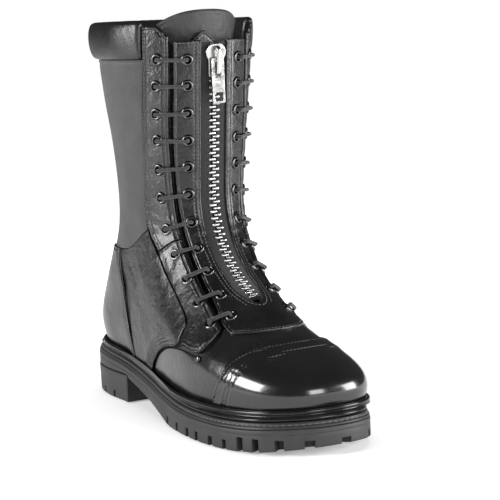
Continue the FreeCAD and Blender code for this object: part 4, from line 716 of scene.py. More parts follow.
    # ankle panel
    fr = sampled([(0.612, 30.35), (0.600, 38), (0.578, 45.5), (0.545, 52), (0.512, 56.4), (0.47, 60), (0.43, 62.3), (0.40, 65), (0.366, 70), (0.335, 76), (0.318, 82), (0.318, 92), (0.326, 104), (0.330, 118), (0.352, 128), (0.372, 137.2)])
    def ankle_uv(s, t):
        f0 = fr(t)
        zb = 30.35+(NYLON(0.997)-0.4-30.35)*t
        v = 0.9975+(f0[0]-0.9975)*s
        zlin = zb+(f0[1]-zb)*s
        topline = NYLON(max(0.9975+(0.372-0.9975)*s, 0.372))-0.4
        endlin = NYLON(0.997)-0.4+(137.2-NYLON(0.997)+0.4)*s
        return sg*v, zlin+(topline-endlin)*t**3
    ank = Patch("ankle_"+side+"_leather", ankle_uv, 170, 95, -1.8, lambda V, Z: np.full(V.shape, 0.0), M_LEATHER, "leather_smooth", step=1.9, roll={"t1": 0.5}, edges="t1",
                bumps=lambda P, V, Z: 0.30*waves(P, 21.0, 6)+0.16*waves(P, 9.0, 12), replaces=["ankle_panel_"+side])

    # nylon shaft panel
    def shaft_uv(s, t):
        z0 = NYLON(0.9975+(0.372-0.9975)*s)
        z = z0+(SHAFT_TOP-z0)*t
        f = FACE_REAR(z)+0.004
        if t < 0.35:
            w = 1-smooth(t/0.35)
            f = f*(1-w)+w*max(f, 0.372)
        return sg*(0.9975+(f-0.9975)*s), z
    sh = Patch("shaft_"+side+"_nylon", shaft_uv, 150, 142, -1.8, 0.0, M_NYLON, "nylon_weave", step=2.4, roll=0.4,
               grooves=[("t1", 2.2, 0.5, 0.25), ("t0", 1.6, 0.4, 0.2)], bumps=lambda P, V, Z: 0.22*waves(P, 38.0, 3), replaces=["shaft_panel_"+side])
    sew("shaft", sh, "t1", 2.2, 0.03, 0.97)
    sew("shaft", sh, "t0", 1.6, 0.35, 0.97)

# heel counter cover
_fz = spline([30, 46, 60, 70, 83, 99, 118], [0.700, 0.700, 0.690, 0.676, 0.656, 0.645, 0.642])
def counter_uv(s, t):
    w = 2*s-1
    k = abs(w)
    zt = 117.0+2.6*k
    z = 30.35+(zt-30.35)*t
    v = 1-(1-max(_fz(z), 0.0))*k
    return (-v if w <= 0 else -(2-v)), z
cc = Patch("heel_counter_leather", counter_uv, 200, 88, OL, OH, M_VAMP, "leather_smooth", step=1.9, roll={"s0": 1.2, "s1": 1.2, "t1": 1.2, "t0": 0.3},
           grooves=[("s0", 1.7, 0.4, 0.22), ("s0", 4.1, 0.4, 0.22), ("s1", 1.7, 0.4, 0.22), ("s1", 4.1, 0.4, 0.22), ("t1", 1.7, 0.4, 0.22)],
           bumps=leather_bumps(0.18, 30.0, 8), replaces=["heel_counter_cover"])
for e in ("s0", "s1"):
    for d in (1.7, 4.1): sew("counter", cc, e, d, 0.02, 0.98)
sew("counter", cc, "t1", 1.7, 0.03, 0.97)

# back stay
bs = Patch("back_stay_leather", lambda s, t: (-0.955-0.09*s, 118.2+(SHAFT_TOP-118.2)*t), 18, 144, OL, OH, M_LEATHER, "leather_smooth", step=1.3, roll=1.1,
           grooves=[("s0", 1.6, 0.4, 0.22), ("s1", 1.6, 0.4, 0.22)], bumps=leather_bumps(0.12, 20.0, 1), replaces=["back_stay"])
for e in ("s0", "s1"): sew("back_stay", bs, e, 1.6, 0.02, 0.98)

# ------------------------------------------------------------------ padded collar and tongue
def inflate(o, voxel, pressure, frames, cap):
    """a padded piece takes up its shape as cloth blown up from inside, each point held within cap of where it began"""
    me = o.data
    rm = o.modifiers.new("remesh", "REMESH"); rm.mode = "VOXEL"; rm.voxel_size = voxel
    dg = bpy.context.evaluated_depsgraph_get()
    m2 = bpy.data.meshes.new_from_object(o.evaluated_get(dg))
    o.modifiers.clear()
    mats = list(me.materials)
    o.data = m2
    m2.materials.clear()
    for m in mats: m2.materials.append(m)
    n = len(m2.vertices)
    start = np.empty(n*3); m2.vertices.foreach_get("co", start); start = start.reshape(-1, 3)
    cl = o.modifiers.new("cloth", "CLOTH")
    st = cl.settings
    st.quality = 6; st.mass = 0.3
    st.use_pressure = True; st.uniform_pressure_force = pressure
    st.tension_stiffness = 18; st.compression_stiffness = 12; st.shear_stiffness = 8; st.bending_stiffness = 1.2
    st.effector_weights.gravity = 0
    cl.collision_settings.use_collision = False
    cl.point_cache.frame_start, cl.point_cache.frame_end = 1, frames
    sc = bpy.context.scene
    for f in range(1, frames+1): sc.frame_set(f)
    dg = bpy.context.evaluated_depsgraph_get()
    ev = o.evaluated_get(dg)
    end = np.empty(n*3); ev.data.vertices.foreach_get("co", end); end = end.reshape(-1, 3)
    mv = end-start
    l = np.linalg.norm(mv, axis=1, keepdims=True)
    mv = mv*np.minimum(1, cap/np.maximum(l, 1e-9))
    o.modifiers.clear()
    sc.frame_set(1)
    m2.vertices.foreach_set("co", (start+mv).ravel())
    m2.update()
    for f in m2.polygons: f.use_smooth = True
    return float(l.max())

def collar_uv(s, t):
    w = 2*s-1
    k = abs(w)
    z = SHAFT_TOP+0.4+(COLLAR_TOP-SHAFT_TOP-0.4)*t
    v = 1-(1-FACE_REAR(z)-0.005)*k
    return (-v if w <= 0 else -(2-v)), z

def collar_mesh(name, shrink, ns, nt):
    """the closed roll of the collar: a ring of points round its section at each step along it"""
    S = np.concatenate([np.linspace(0, 0.03, 6)[:-1], np.linspace(0.03, 0.97, ns), np.linspace(0.97, 1, 6)[1:]])
    verts = []; uv = []
    for s in S:
        k = abs(2*s-1)
        edge = 1-smooth((k-0.78)/0.22)*0.45
        endr = 1.0 if k < 0.985 else math.sqrt(max(0.0, 1-((k-0.985)/0.015)**2))*0.5+0.5
        for h in range(nt):
            a = 2*math.pi*h/nt
            # section: fat at the outside, rolling over the rim to the inside
            ca, sa = math.cos(a), math.sin(a)
            t = 0.5-0.5*ca
            zt = min(max(t, 0.0), 1.0)
            v, z = collar_uv(float(s), zt)
            b = max(0.0, abs(sa))
            if sa >= 0: off = 0.1+(6.6*edge*endr-shrink)*b**0.78
            else: off = -1.2-(6.0*endr-shrink)*b**0.80
            p = Q(np.array([v]), np.array([z]))[0]; n = normal(np.array([v]), np.array([z]))[0]
            # gathers on the inner side of the rim
            g = 0.0
            if sa < 0.2:
                m = smooth((t-0.35)/0.35)*smooth((0.98-t)/0.1+0.3)
                g = -0.55*m*math.sin(s*2*math.pi*62+1.3*math.sin(s*40))*smooth((0.93-k)/0.05)
            g += 0.35*float(waves((p+n*off)[None], 26.0, 2)[0])*b
            verts.append(p+n*(off+g))
    ns2 = len(S)
    faces = []
    for i in range(ns2-1):
        for h in range(nt):
            a0, a1 = i*nt+h, i*nt+(h+1) % nt
            faces.append((a0, a1, a1+nt, a0+nt))
    faces.append(tuple(range(nt-1, -1, -1)))
    faces.append(tuple((ns2-1)*nt+h for h in range(nt)))
    return verts, faces

SIM = []
cv, cf = collar_mesh("collar", 0.7, 190, 44)
collar = put("collar_padded", cv, cf, M_PAD, replaces=["collar"], smooth_deg=0)
bm = bmesh.new(); bm.from_mesh(collar.data); bmesh.ops.recalc_face_normals(bm, faces=bm.faces); bm.to_mesh(collar.data); bm.free()

# tongue
TOFF = spline([58, 66, 74, 86, 110, 150, 200, 250, 298], [-5.7, -7.5, -9.8, -10.6, -10.8, -10.8, -10.8, -10.6, -10.4])
TWID = spline([58, 75, 95, 120, 160, 220, 260, 298], [0.125, 0.150, 0.165, 0.195, 0.225, 0.225, 0.245, 0.258])
def tongue_uv(s, t):
    w = 2*s-1
    zt = 295.6-9.0*abs(w)**2.6
    z = 58.5+(zt-58.5)*t
    return TWID(z)*w, z
def toff(Z):
    return np.vectorize(TOFF)(Z)
tongue = Patch("tongue_padded", tongue_uv, 76, 260, lambda V, Z: toff(Z)-2.8, lambda V, Z: toff(Z), M_TONGUE, "leather_padded", step=1.9, roll={"s0": 1.6, "s1": 1.6, "t1": 1.7, "t0": 0.6},
               grooves=[("t1", 3.4, 0.6, 0.4), ("s0", 3.4, 0.6, 0.35), ("s1", 3.4, 0.6, 0.35)],
               bumps=lambda P, V, Z: 0.32*waves(P, 30.0, 7)+0.5*nsmooth((Z-268)/14.0), replaces=["tongue"])
for e, lo, hi in (("t1", 0.06, 0.94), ("s0", 0.7, 0.985), ("s1", 0.7, 0.985)):
    sew("tongue", tongue, e, 3.4, lo, hi)

# ------------------------------------------------------------------ zipper unit
PB_ = spline([-0.156, -0.152, -0.140, -0.096, -0.05, 0, 0.05, 0.096, 0.140, 0.152, 0.156], [79.0, 76.0, 73.9, 74.6, 75.3, 75.6, 75.3, 74.6, 73.9, 76.0, 79.0])
XM, HWID, ZC = -0.5, 10.1, 100.5
def slot_half(z):
    if z >= ZC: return HWID
    if z <= ZC-HWID: return 0.0
    return math.sqrt(max(0.0, HWID*HWID-(ZC-z)**2))
def strip_uv(sg):
    def f(s, t):
        # s from the outer edge to the slot
        z0 = PB_(0.156*(-(1-s)))
        z = z0+(275.0-z0)*t
        L = float(half_len(z, sg))
        xin = XM+sg*slot_half(z)
        Li = float(half_len(z, -1 if xin < 0 else 1))
        vin = xin/Li
        vout = sg*PANEL_EDGE(z)
        return vout+(vin-vout)*s, z
    return f
def slot_tparam(S, T):
    zs = np.concatenate([np.array(T), (np.array([ZC-HWID+x for x in (0.0, 0.05, 0.2, 0.5, 1.0, 1.8, 3.0, 4.5, 6.5, 8.5)])-75.0)/200.0])
    return S, np.unique(np.round(np.clip(zs, 0, 1), 6))
for side, sg in (("lateral", -1), ("medial", 1)):
    dp = dimples(PANEL_EYES, sg, 0.42, 5.4)
    def slot_groove(P, V, Z, dp=dp):
        L = np.where(V < 0, half_len(Z, -1), half_len(Z, 1))
        x = V*L
        d = np.where(Z >= ZC, np.abs(x-XM)-HWID, np.hypot(x-XM, Z-ZC)-HWID)
        g = -0.34*np.exp(-((d-2.0)/0.5)**2)-0.30*np.exp(-((d-5.0)/0.5)**2)
        e = np.clip(d/1.1, 0, 1)
        roll = -1.1*(1-np.sqrt(np.maximum(0, 1-(1-e)**2)))*(Z > ZC-HWID-1.2)
        return g+roll+dp(P)+0.14*waves(P, 16.0, 5)+creases(P, V, Z, 82, 150, 0.30, 7.2, 0.4)
    st = Patch("zip_panel_"+side+"_leather", strip_uv(sg), 36, 214, lambda V, Z: po(Z), lambda V, Z: po(Z)+PANEL_T, M_LEATHER, "leather_smooth", step=1.05,
               roll={"s0": 1.0, "t0": 1.0, "t1": 1.0}, edges="s0 t0 t1", extra=slot_tparam,
               grooves=[("t0", 2.2, 0.5, 0.32), ("s0", 1.8, 0.4, 0.2)], bumps=slot_groove, holes=[(np.float64(sg*v), np.float64(z), 2.9) for v, z in PANEL_EYES],
               replaces=["zip_panel"])
    sew("zip_panel", st, "t0", 2.2, 0.06, 1.0)
    sew("zip_panel", st, "t1", 1.6, 0.05, 0.95)
    # rows round the slot, from the top down and round its end
    for d in (2.0, 5.0):
        R = HWID+d
        pts = [(XM+sg*R, z) for z in np.arange(273.0, ZC, -1.0)]
        pts += [(XM+sg*R*math.cos(a), ZC-R*math.sin(a)) for a in np.linspace(0, math.pi/2*(0.98 if d < 3 else 0.55), 24)]
        z = np.array([p[1] for p in pts]); x = np.array([p[0] for p in pts])
        v = x/np.where(x < 0, half_len(z, -1), half_len(z, 1))
        P, N = Q(v, z), normal(v, z)
        off = po(z)+PANEL_T-0.30+dp(P)+0.14*waves(P, 16.0, 5)+creases(P, v, z, 82, 150, 0.30, 7.2, 0.4)+0.1
        pieces_rows.setdefault("zip_panel", []).append((P+N*off[:, None], N))

# tapes either side of the teeth
for side, sg in (("lateral", -1), ("medial", 1)):
    def tape_uv(s, t, sg=sg):
        z = 88.0+(273.5-88.0)*t
        return sg*(2.5+(13.4-2.5)*s)/float(half_len(z, sg)), z
    Patch("zip_tape_"+side+"_cloth", tape_uv, 11, 196, lambda V, Z: np.minimum(-0.9, po(Z)-1.0), lambda V, Z: np.minimum(-0.9, po(Z)-1.0)+0.75, M_TAPE, "zip_tape_cloth", step=1.6, roll=0.3, fine=False,
          replaces=["zip_tape_"+side])

# guard flap behind the chain
def flap_uv(s, t):
    x = -17.0+19.5*s
    zt = 282.0-7.4*abs(2*s-1)
    z = 84.0+(zt-84.0)*t
    return x/float(half_len(z, -1 if x < 0 else 1)), z
fl = Patch("zip_guard_flap_leather", flap_uv, 20, 205, lambda V, Z: po(Z)-5.6, lambda V, Z: po(Z)-4.5, M_LEATHER, "leather_smooth", step=1.6, roll=0.8,
           grooves=[("t1", 2.0, 0.4, 0.25)], bumps=leather_bumps(0.15, 18.0, 2), replaces=["zip_guard_flap"])
sew("flap", fl, "t1", 2.0, 0.05, 0.95)

# chain: teeth that mesh past each other
def front(z):
    z = np.atleast_1d(np.asarray(z, float))
    p = Q(np.zeros_like(z), z); n = normal(np.zeros_like(z), z)
    n[:, 0] = 0; n /= np.linalg.norm(n, axis=1, keepdims=True)
    t = np.cross(np.array([1.0, 0, 0]), n); t *= np.sign(t[:, 2:3])
    return p, n, t
def chain_off(z):
    return np.minimum(-0.9, po(z)-1.0)+0.375
zz = np.arange(90.0, 272.0, 0.5)
fp, _, _ = front(zz)
run = np.concatenate([[0], np.cumsum(np.linalg.norm(np.diff(fp, axis=0), axis=1))])
top_run = run[zz <= 268.5][-1]
# section of a tooth across the chain: (x, half height along the chain, depth factor)
TOOTH = [(-1.45, 0.45, 0.55), (-1.25, 0.80, 0.85), (-0.6, 1.02, 1.0), (0.2, 0.84, 0.98), (0.9, 0.92, 1.0), (2.2, 1.14, 1.0), (3.4, 1.12, 1.0), (4.05, 0.95, 0.9), (4.30, 0.65, 0.6)]
for side, sg, ph in (("lateral", -1, 0.0), ("medial", 1, 0.5)):
    d = np.arange(8.6+ph*4.8, top_run, 4.8)
    za = np.interp(d, run, zz)
    p, n, t = front(za)
    p = p+n*chain_off(za)[:, None]
    verts, faces = [], []
    NS = 12
    for k in range(len(za)):
        base = len(verts)
        for x, hh, dd in TOOTH:
            for h in range(NS):
                a = 2*math.pi*h/NS
                ca, sa = math.cos(a), math.sin(a)
                # rounded-square section
                ca = math.copysign(abs(ca)**0.55, ca); sa = math.copysign(abs(sa)**0.55, sa)
                verts.append(p[k]+np.array([sg*x, 0, 0])+t[k]*(ca*hh)+n[k]*(sa*1.5*dd))
        for i in range(len(TOOTH)-1):
            for h in range(NS):
                a0, a1 = base+i*NS+h, base+i*NS+(h+1) % NS
                f = (a0, a1, a1+NS, a0+NS)
                faces.append(f if sg < 0 else f[::-1])
        e0 = tuple(base+h for h in range(NS)); e1 = tuple(base+(len(TOOTH)-1)*NS+h for h in range(NS))
        faces.append(e0[::-1] if sg < 0 else e0); faces.append(e1 if sg < 0 else e1[::-1])
    put("zip_teeth_"+side+"_metal", verts, faces, M_METAL, replaces=["zip_teeth_"+side], smooth_deg=60)

# ------------------------------------------------------------------ eyelets and laces
def lathe(name, places, profile, mat, replaces=(), seg=32, closed=False, mats=None, prof_mats=None):
    verts, faces, fm = [], [], []
    m = len(profile)
    for p, n in places:
        ref = np.array([0, 0, 1.0]) if abs(n[2]) < 0.9 else np.array([1.0, 0, 0])
        a = np.cross(ref, n); a /= np.linalg.norm(a); b = np.cross(n, a)
        base = len(verts)
        for k in range(seg):
            th = 2*math.pi*k/seg
            d = a*math.cos(th)+b*math.sin(th)
            for r, h in profile:
                verts.append(p+d*r+n*h)
        for k in range(seg):
            for j in range(m-1):
                a0 = base+k*m+j; b0 = base+((k+1) % seg)*m+j
                faces.append((a0, b0, b0+1, a0+1))
                fm.append(0 if prof_mats is None else prof_mats[j])
    return put(name, verts, faces, mat, replaces=replaces, smooth_deg=70, mats=mats, face_mats=fm if mats else None)
RING = [(1.85, -2.2), (2.2, -1.2), (2.25, 0.0), (2.35, 0.7), (2.6, 1.15), (3.05, 1.42), (3.6, 1.38), (4.1, 1.05), (4.45, 0.6), (4.6, 0.1), (4.5, -0.3), (4.0, -0.4)]
for side, sg in (("lateral", -1), ("medial", 1)):
    pl = []
    for v, z in FACE_EYES:
        n = normal(np.array([sg*v]), np.array([z]))[0]
        pl.append((Q(np.array([sg*v]), np.array([z]))[0]+n*1.1, n))
    lathe("facing_eyelets_"+side+"_enamel", pl, RING, M_EYELET, replaces=["facing_eyelets_"+side])
    pl = []
    for v, z in PANEL_EYES:
        n = normal(np.array([sg*v]), np.array([z]))[0]
        pl.append((Q(np.array([sg*v]), np.array([z]))[0]+n*(float(po(z))+PANEL_T-0.35), n))
    lathe("panel_eyelets_"+side+"_enamel", pl, RING, M_EYELET, replaces=["panel_eyelets_"+side])

def S1(v, z, off):
    v = np.array([v]); z = np.array([float(z)])
    return (Q(v, z)+normal(v, z)*off)[0]
def tube_mesh(name, P, radius, mat, replaces=(), sides=14, braid=0.0, pitch=4.2):
    """a round braid along the points P in mm"""
    seg = np.linalg.norm(np.diff(P, axis=0), axis=1)
    keep = np.concatenate([[True], seg > 1e-5]); P = P[keep]
    acc = np.concatenate([[0], np.cumsum(np.linalg.norm(np.diff(P, axis=0), axis=1))])
    at = np.arange(0, acc[-1], 0.42)
    C = np.stack([np.interp(at, acc, P[:, k]) for k in range(3)], 1)
    T = np.gradient(C, axis=0); T /= np.linalg.norm(T, axis=1, keepdims=True)
    X = np.empty_like(C)
    x = np.cross(T[0], [0, 0, 1.0]); x /= np.linalg.norm(x)
    for k in range(len(C)):
        x = x-T[k]*(x@T[k]); x /= np.linalg.norm(x); X[k] = x
    Y = np.cross(T, X)
    verts, uv = [], []
    for k in range(len(C)):
        for h in range(sides):
            th = 2*math.pi*h/sides
            r = radius*(1+braid*math.sin(4*th+at[k]*2*math.pi/pitch)*math.sin(4*th-at[k]*2*math.pi/pitch))
            verts.append(C[k]+X[k]*math.cos(th)*r+Y[k]*math.sin(th)*r)
            uv.append((th/(2*math.pi)*0.008, at[k]*MM))
    n = len(C)
    faces = [(k*sides+h, k*sides+(h+1) % sides, (k+1)*sides+(h+1) % sides, (k+1)*sides+h) for k in range(n-1) for h in range(sides)]
    faces.append(tuple(range(sides-1, -1, -1))); faces.append(tuple((n-1)*sides+h for h in range(sides)))
    return put(name, verts, faces, mat, replaces=replaces, uv=uv, smooth_deg=0)
M_LACE = weave("lace_cord", col=0.032, pitch=1.05, strength=1.0, sheen=0.35, rough=0.62)
for side, sg in (("lateral", -1), ("medial", 1)):
    pts = []
    for k in range(10, -1, -1):
        fv, fz = FACE_EYES[k]; pv, pz = PANEL_EYES[k]
        fin = -7.6 if fz < 250 else -6.4
        poz = float(po(pz))
        P_in, P_out = S1(sg*pv, pz, poz-6.0), S1(sg*pv, pz, poz+5.0)
        F_out, F_in = S1(sg*fv, fz, 4.9), S1(sg*fv, fz, fin)
        if k == 10:
            pts.append(S1(sg*(pv-0.02), pz+9, poz-6.0))
        across = F_out-P_out
        pts += [P_in, P_out, P_out+across*0.18, F_out-across*0.18, F_out, F_in]
        if k == 0:
            pts.append(S1(sg*(fv+0.02), fz-9, fin))
    cu = bpy.data.curves.new("lace_route", "CURVE"); cu.dimensions = "3D"; cu.resolution_u = 10
    sp = cu.splines.new("NURBS"); sp.points.add(len(pts)-1)
    for q_, p_ in zip(sp.points, pts): q_.co = (*p_, 1.0)
    sp.order_u = 3; sp.use_endpoint_u = True
    co = bpy.data.objects.new("lace_route_tmp", cu)
    me = bpy.data.meshes.new_from_object(co)
    line = np.array([list(v.co) for v in me.vertices])
    bpy.data.objects.remove(co); bpy.data.curves.remove(cu); bpy.data.meshes.remove(me)
    tube_mesh("lace_"+side+"_braid", line, 1.3, M_LACE, replaces=["lace_"+side], braid=0.07)

# ------------------------------------------------------------------ slider and pull
BASE = np.array([0.452, -6.86, 260.432])-SHIFT
UPV = np.array([0, -0.099515, 0.995036]); OUTV = np.array([0, -0.995036, -0.099515]); XV = np.array([1.0, 0, 0])
HINGE = np.array([0.452, -11.627, 261.362])-SHIFT

def plate(loops, half, bevel, origin, X, Y):
    """points and faces of a plate with rounded edges: loops of (x, y), the first the outside"""
    N = np.cross(X, Y)
    cu = bpy.data.curves.new("plate_tmp", "CURVE"); cu.dimensions = "2D"; cu.fill_mode = "BOTH"
    cu.extrude = half-bevel; cu.bevel_depth = bevel; cu.bevel_resolution = 3; cu.offset = -bevel
    for lp in loops:
        sp = cu.splines.new("POLY"); sp.points.add(len(lp)-1); sp.use_cyclic_u = True
        for q_, p_ in zip(sp.points, lp): q_.co = (p_[0], p_[1], 0, 1)
    co = bpy.data.objects.new("plate_tmp", cu)
    me = bpy.data.meshes.new_from_object(co)
    V = np.array([list(v.co) for v in me.vertices]); F = [tuple(p.vertices) for p in me.polygons]
    bpy.data.objects.remove(co); bpy.data.curves.remove(cu); bpy.data.meshes.remove(me)
    return origin+V[:, :1]*X+V[:, 1:2]*Y+V[:, 2:3]*N, F

def arcs(pts, r, n=5):
    """polygon with its corners rounded by r, or by each corner's own radius"""
    out = []; m = len(pts)
    for i in range(m):
        p = np.array(pts[i][:2], float); a = np.array(pts[i-1][:2], float); b = np.array(pts[(i+1) % m][:2], float)
        rr = pts[i][2] if len(pts[i]) > 2 else r
        u, v = a-p, b-p
        rr = min(rr, 0.48*np.linalg.norm(u), 0.48*np.linalg.norm(v))
        if rr <= 0: out.append(tuple(p)); continue
        s_, e_ = p+u/np.linalg.norm(u)*rr, p+v/np.linalg.norm(v)*rr
        for k in range(n+1):
            t = k/n
            out.append(tuple((1-t)**2*s_+2*t*(1-t)*p+t*t*e_))
    return out

def join(parts):
    V, F, n = [], [], 0
    for v, f in parts:
        V.append(np.asarray(v)); F += [tuple(i+n for i in q_) for q_ in f]; n += len(v)
    return np.concatenate(V), F

hl, w0, w1 = 12.0, 5.8, 8.0
wing = [(-w0+1.0, -hl, .8), (-w0, -hl+1.2, 1.2), (-w0, .0, 2), (-w1, .34*hl, 2.4), (-w1, .66*hl, 2.0), (-.62*w1, .96*hl, 1.5), (-2.2, hl, 1.0), (2.2, hl, 1.0), (.62*w1, .96*hl, 1.5), (w1, .66*hl, 2.0), (w1, .34*hl, 2.4), (w0, .0, 2), (w0, -hl+1.2, 1.2), (w0-1.0, -hl, .8)]
wing = arcs(wing, 1.0)
sl = []
for lo, hi in ((1.9, 3.2), (-3.2, -1.9)):
    v, f = plate([wing], (hi-lo)/2, 0.42, BASE+OUTV*(lo+hi)/2, XV, UPV)
    sl.append((v, f))
# flanges down both sides, web in the middle
for sg in (-1, 1):
    for lo, hi in ((1.15, 2.3), (-2.3, -1.15)):
        sl.append(plate([arcs([(sg*4.75, -hl+1.6), (sg*5.6, -hl+1.6), (sg*5.6, 0.4), (sg*7.3, 4.4), (sg*7.3, 7.4), (sg*6.2, 7.4), (sg*6.2, 4.6), (sg*4.75, 0.8)][::1 if sg > 0 else -1], 0.3)], (hi-lo)/2, 0.12, BASE+OUTV*(lo+hi)/2, XV, UPV))
sl.append(plate([arcs([(-0.25, -hl+0.6), (0.25, -hl+0.6), (0.25, hl-0.5), (-0.25, hl-0.5)], 0.1)], 2.0, 0.05, BASE, XV, UPV))
# bail arch
ao = arcs([(-10.6, 3.0, .1), (-10.6, 5.6, 1.8), (-9.0, 7.4, 2.0), (8.7, 7.4, 2.4), (10.6, 5.4, 1.8), (10.6, 3.0, .1)], 1.0)
ai = arcs([(8.6, 3.0, .05), (8.6, 4.9, 1.0), (7.7, 6.05, 1.0), (-0.3, 6.05, .6), (-0.9, 5.3, .5), (-0.9, 3.0, .05)], 0.5)
sl.append(plate([ao+ai], 1.5, 0.40, BASE, UPV, OUTV))
V_, F_ = join(sl)
put("zip_slider_plated", V_, F_, M_SLIDER, body="slider", replaces=["slider_body"], smooth_deg=42)

PX, PY = np.array([1.0, 0, 0]), np.array([0, 0, 1.0])
outer = arcs([(-4.3, .8, 1.0), (4.3, .8, 1.0), (5.1, -1.6, 1.6), (5.1, -31.8, 1.8), (-5.1, -31.8, 1.8), (-5.1, -1.6, 1.6)], 1.0, 6)
win = arcs([(-2.5, -0.8, .6), (2.5, -0.8, .6), (2.5, -13.6, 1.2), (-2.5, -13.6, 1.2)], 1.0, 6)
hole = arcs([(-3.4, -24.0, .9), (3.4, -24.0, .9), (3.4, -30.0, 1.2), (-3.4, -30.0, 1.2)], 1.0, 5)
pl_ = [plate([outer, win, hole], 0.8, 0.34, HINGE, PX, PY)]
# raised pad between the window and the hole
pad_ = arcs([(-3.7, -15.2, 1.0), (3.7, -15.2, 1.0), (3.7, -22.6, 1.0), (-3.7, -22.6, 1.0)], 1.0, 5)
pl_.append(plate([pad_], 0.98, 0.22, HINGE, PX, PY))
V_, F_ = join(pl_)
put("zip_pull_plated", V_, F_, M_SLIDER, body="pull", replaces=["zip_pull"], smooth_deg=42)

# ------------------------------------------------------------------ sole
OUTLINE = [(9, -167), (31, -160), (46, -138.5), (54.5, -109), (55, -79), (50, -47), (41.5, -12), (36, 23), (35.5, 62), (36.5, 97), (28.5, 121), (14, 135),
           (-4, 139), (-22.5, 136), (-37, 123), (-43.5, 97), (-44, 62), (-46.5, 23), (-51.5, -12), (-56.5, -47), (-57.5, -77), (-53, -108.5), (-41, -138), (-16, -160.5)]
def closed_curve(points, n):
    m = len(points); out = []
    for i in range(m):
        p0, p1, p2, p3 = (np.array(points[j % m], float) for j in (i-1, i, i+1, i+2))
        for k in range(n):
            t = k/n
            out.append(0.5*((2*p1)+(-p0+p2)*t+(2*p0-5*p1+4*p2-p3)*t*t+(-p0+3*p1-3*p2+p3)*t**3))
    return np.array(out)
def paired(curve, n):
    """the closed curve as 2n points: toe to heel down one side, then back up the other"""
    a, b = int(np.argmin(curve[:, 1])), int(np.argmax(curve[:, 1]))
    c = np.roll(curve, -a, axis=0); k = (b-a) % len(curve)
    sides = [c[:k+1], np.concatenate([c[k:], c[:1]])]
    out = []
    for s_ in sides:
        L = np.concatenate([[0], np.cumsum(np.linalg.norm(np.diff(s_, axis=0), axis=1))])
        at = np.linspace(0, L[-1], n+1)[:-1]
        out.append(np.stack([np.interp(at, L, s_[:, 0]), np.interp(at, L, s_[:, 1])], 1))
    return np.concatenate(out)
NR = 200
RIM = paired(closed_curve(OUTLINE, 40), NR)
FEA = paired(np.array([Q(np.array([v]), np.array([30.0]))[0][:2] for v in np.linspace(-1, 1, 721)[:-1]]), NR)
def inset(P, d):
    t = np.roll(P, -1, axis=0)-np.roll(P, 1, axis=0)
    l = np.linalg.norm(t, axis=1, keepdims=True); t = t/l
    area = (np.roll(P, 1, axis=0)[:, 0]*P[:, 1]-P[:, 0]*np.roll(P, 1, axis=0)[:, 1]).sum()
    s_ = 1 if area > 0 else -1
    return P+s_*np.stack([-t[:, 1], t[:, 0]], 1)*d
def zs(y):
    return np.vectorize(lambda a: float(ZS(max(-167.0, min(143.0, float(a))))))(y)
def low(y):
    y = np.asarray(y, float)
    r = np.where(y < -103, 6.5*((np.minimum(y, -103)+103)/63.0)**2, 0.0)
    r = np.where(y > -23, 20.0*(np.clip(y+23, 0, 90)/84.0)**0.9, r)
    return r
def rings(profile, caps=True, closed=False):
    """loft of rings: (outline, inset, height function of y)"""
    V = []
    for P, d, zf in profile:
        p = inset(P, d)
        V.append(np.column_stack([p, zf(p[:, 1])]))
    n = 2*NR; F = []
    m = len(V)
    for i in range(m if closed else m-1):
        j = (i+1) % m
        for k in range(n):
            k2 = (k+1) % n
            F.append((i*n+k, j*n+k, j*n+k2, i*n+k2))
    if caps:
        for i, flip in ((0, False), (m-1, True)):
            base = i*n
            # first half toe to heel, second half heel to toe: join matching points
            A = [base+k for k in range(NR+1)]
            B = [base+((n-k) % n) for k in range(NR+1)]
            for k in range(NR):
                q_ = [A[k], A[k+1], B[k+1], B[k]]
                q_ = [q_[a] for a in range(4) if q_[a] != q_[a-1]]
                if len(q_) >= 3: F.append(tuple(q_ if not flip else q_[::-1]))
    return np.concatenate(V), F
def fixed_normals(o):
    b_ = bmesh.new(); b_.from_mesh(o.data); bmesh.ops.recalc_face_normals(b_, faces=b_.faces); b_.to_mesh(o.data); b_.free()

drop = lambda h: (lambda y: zs(y)-h)
HB = 60.2
def under(e):
    return lambda y: np.where(y < HB-1, np.minimum(low(y)+e, zs(y)-14.0), 21.8+min(e, 0.8))
prof = [(RIM, 6.0, drop(9.35)), (RIM, 1.7, drop(9.35)), (RIM, 1.15, drop(9.5)), (RIM, 0.75, drop(9.95)), (RIM, 0.55, drop(10.8)), (RIM, 0.45, drop(12.2)), (RIM, 0.55, drop(12.7)), (RIM, 0.85, drop(13.0)), (RIM, 0.80, drop(13.6))]
prof += [(RIM, 0.55, (lambda k: lambda y: (zs(y)-13.6)*(1-k)+under(1.5)(y)*k)(k)) for k in (0.12, 0.4, 0.7, 1.0)]
prof += [(RIM, 0.75, under(0.6)), (RIM, 1.3, under(0.12)), (RIM, 2.2, under(0.0)), (RIM, 9.0, under(0.0))]
V_, F_ = rings(prof)
outsole = put("outsole_rubber", V_, F_, M_SOLE, replaces=["outsole"], smooth_deg=0)
fixed_normals(outsole)

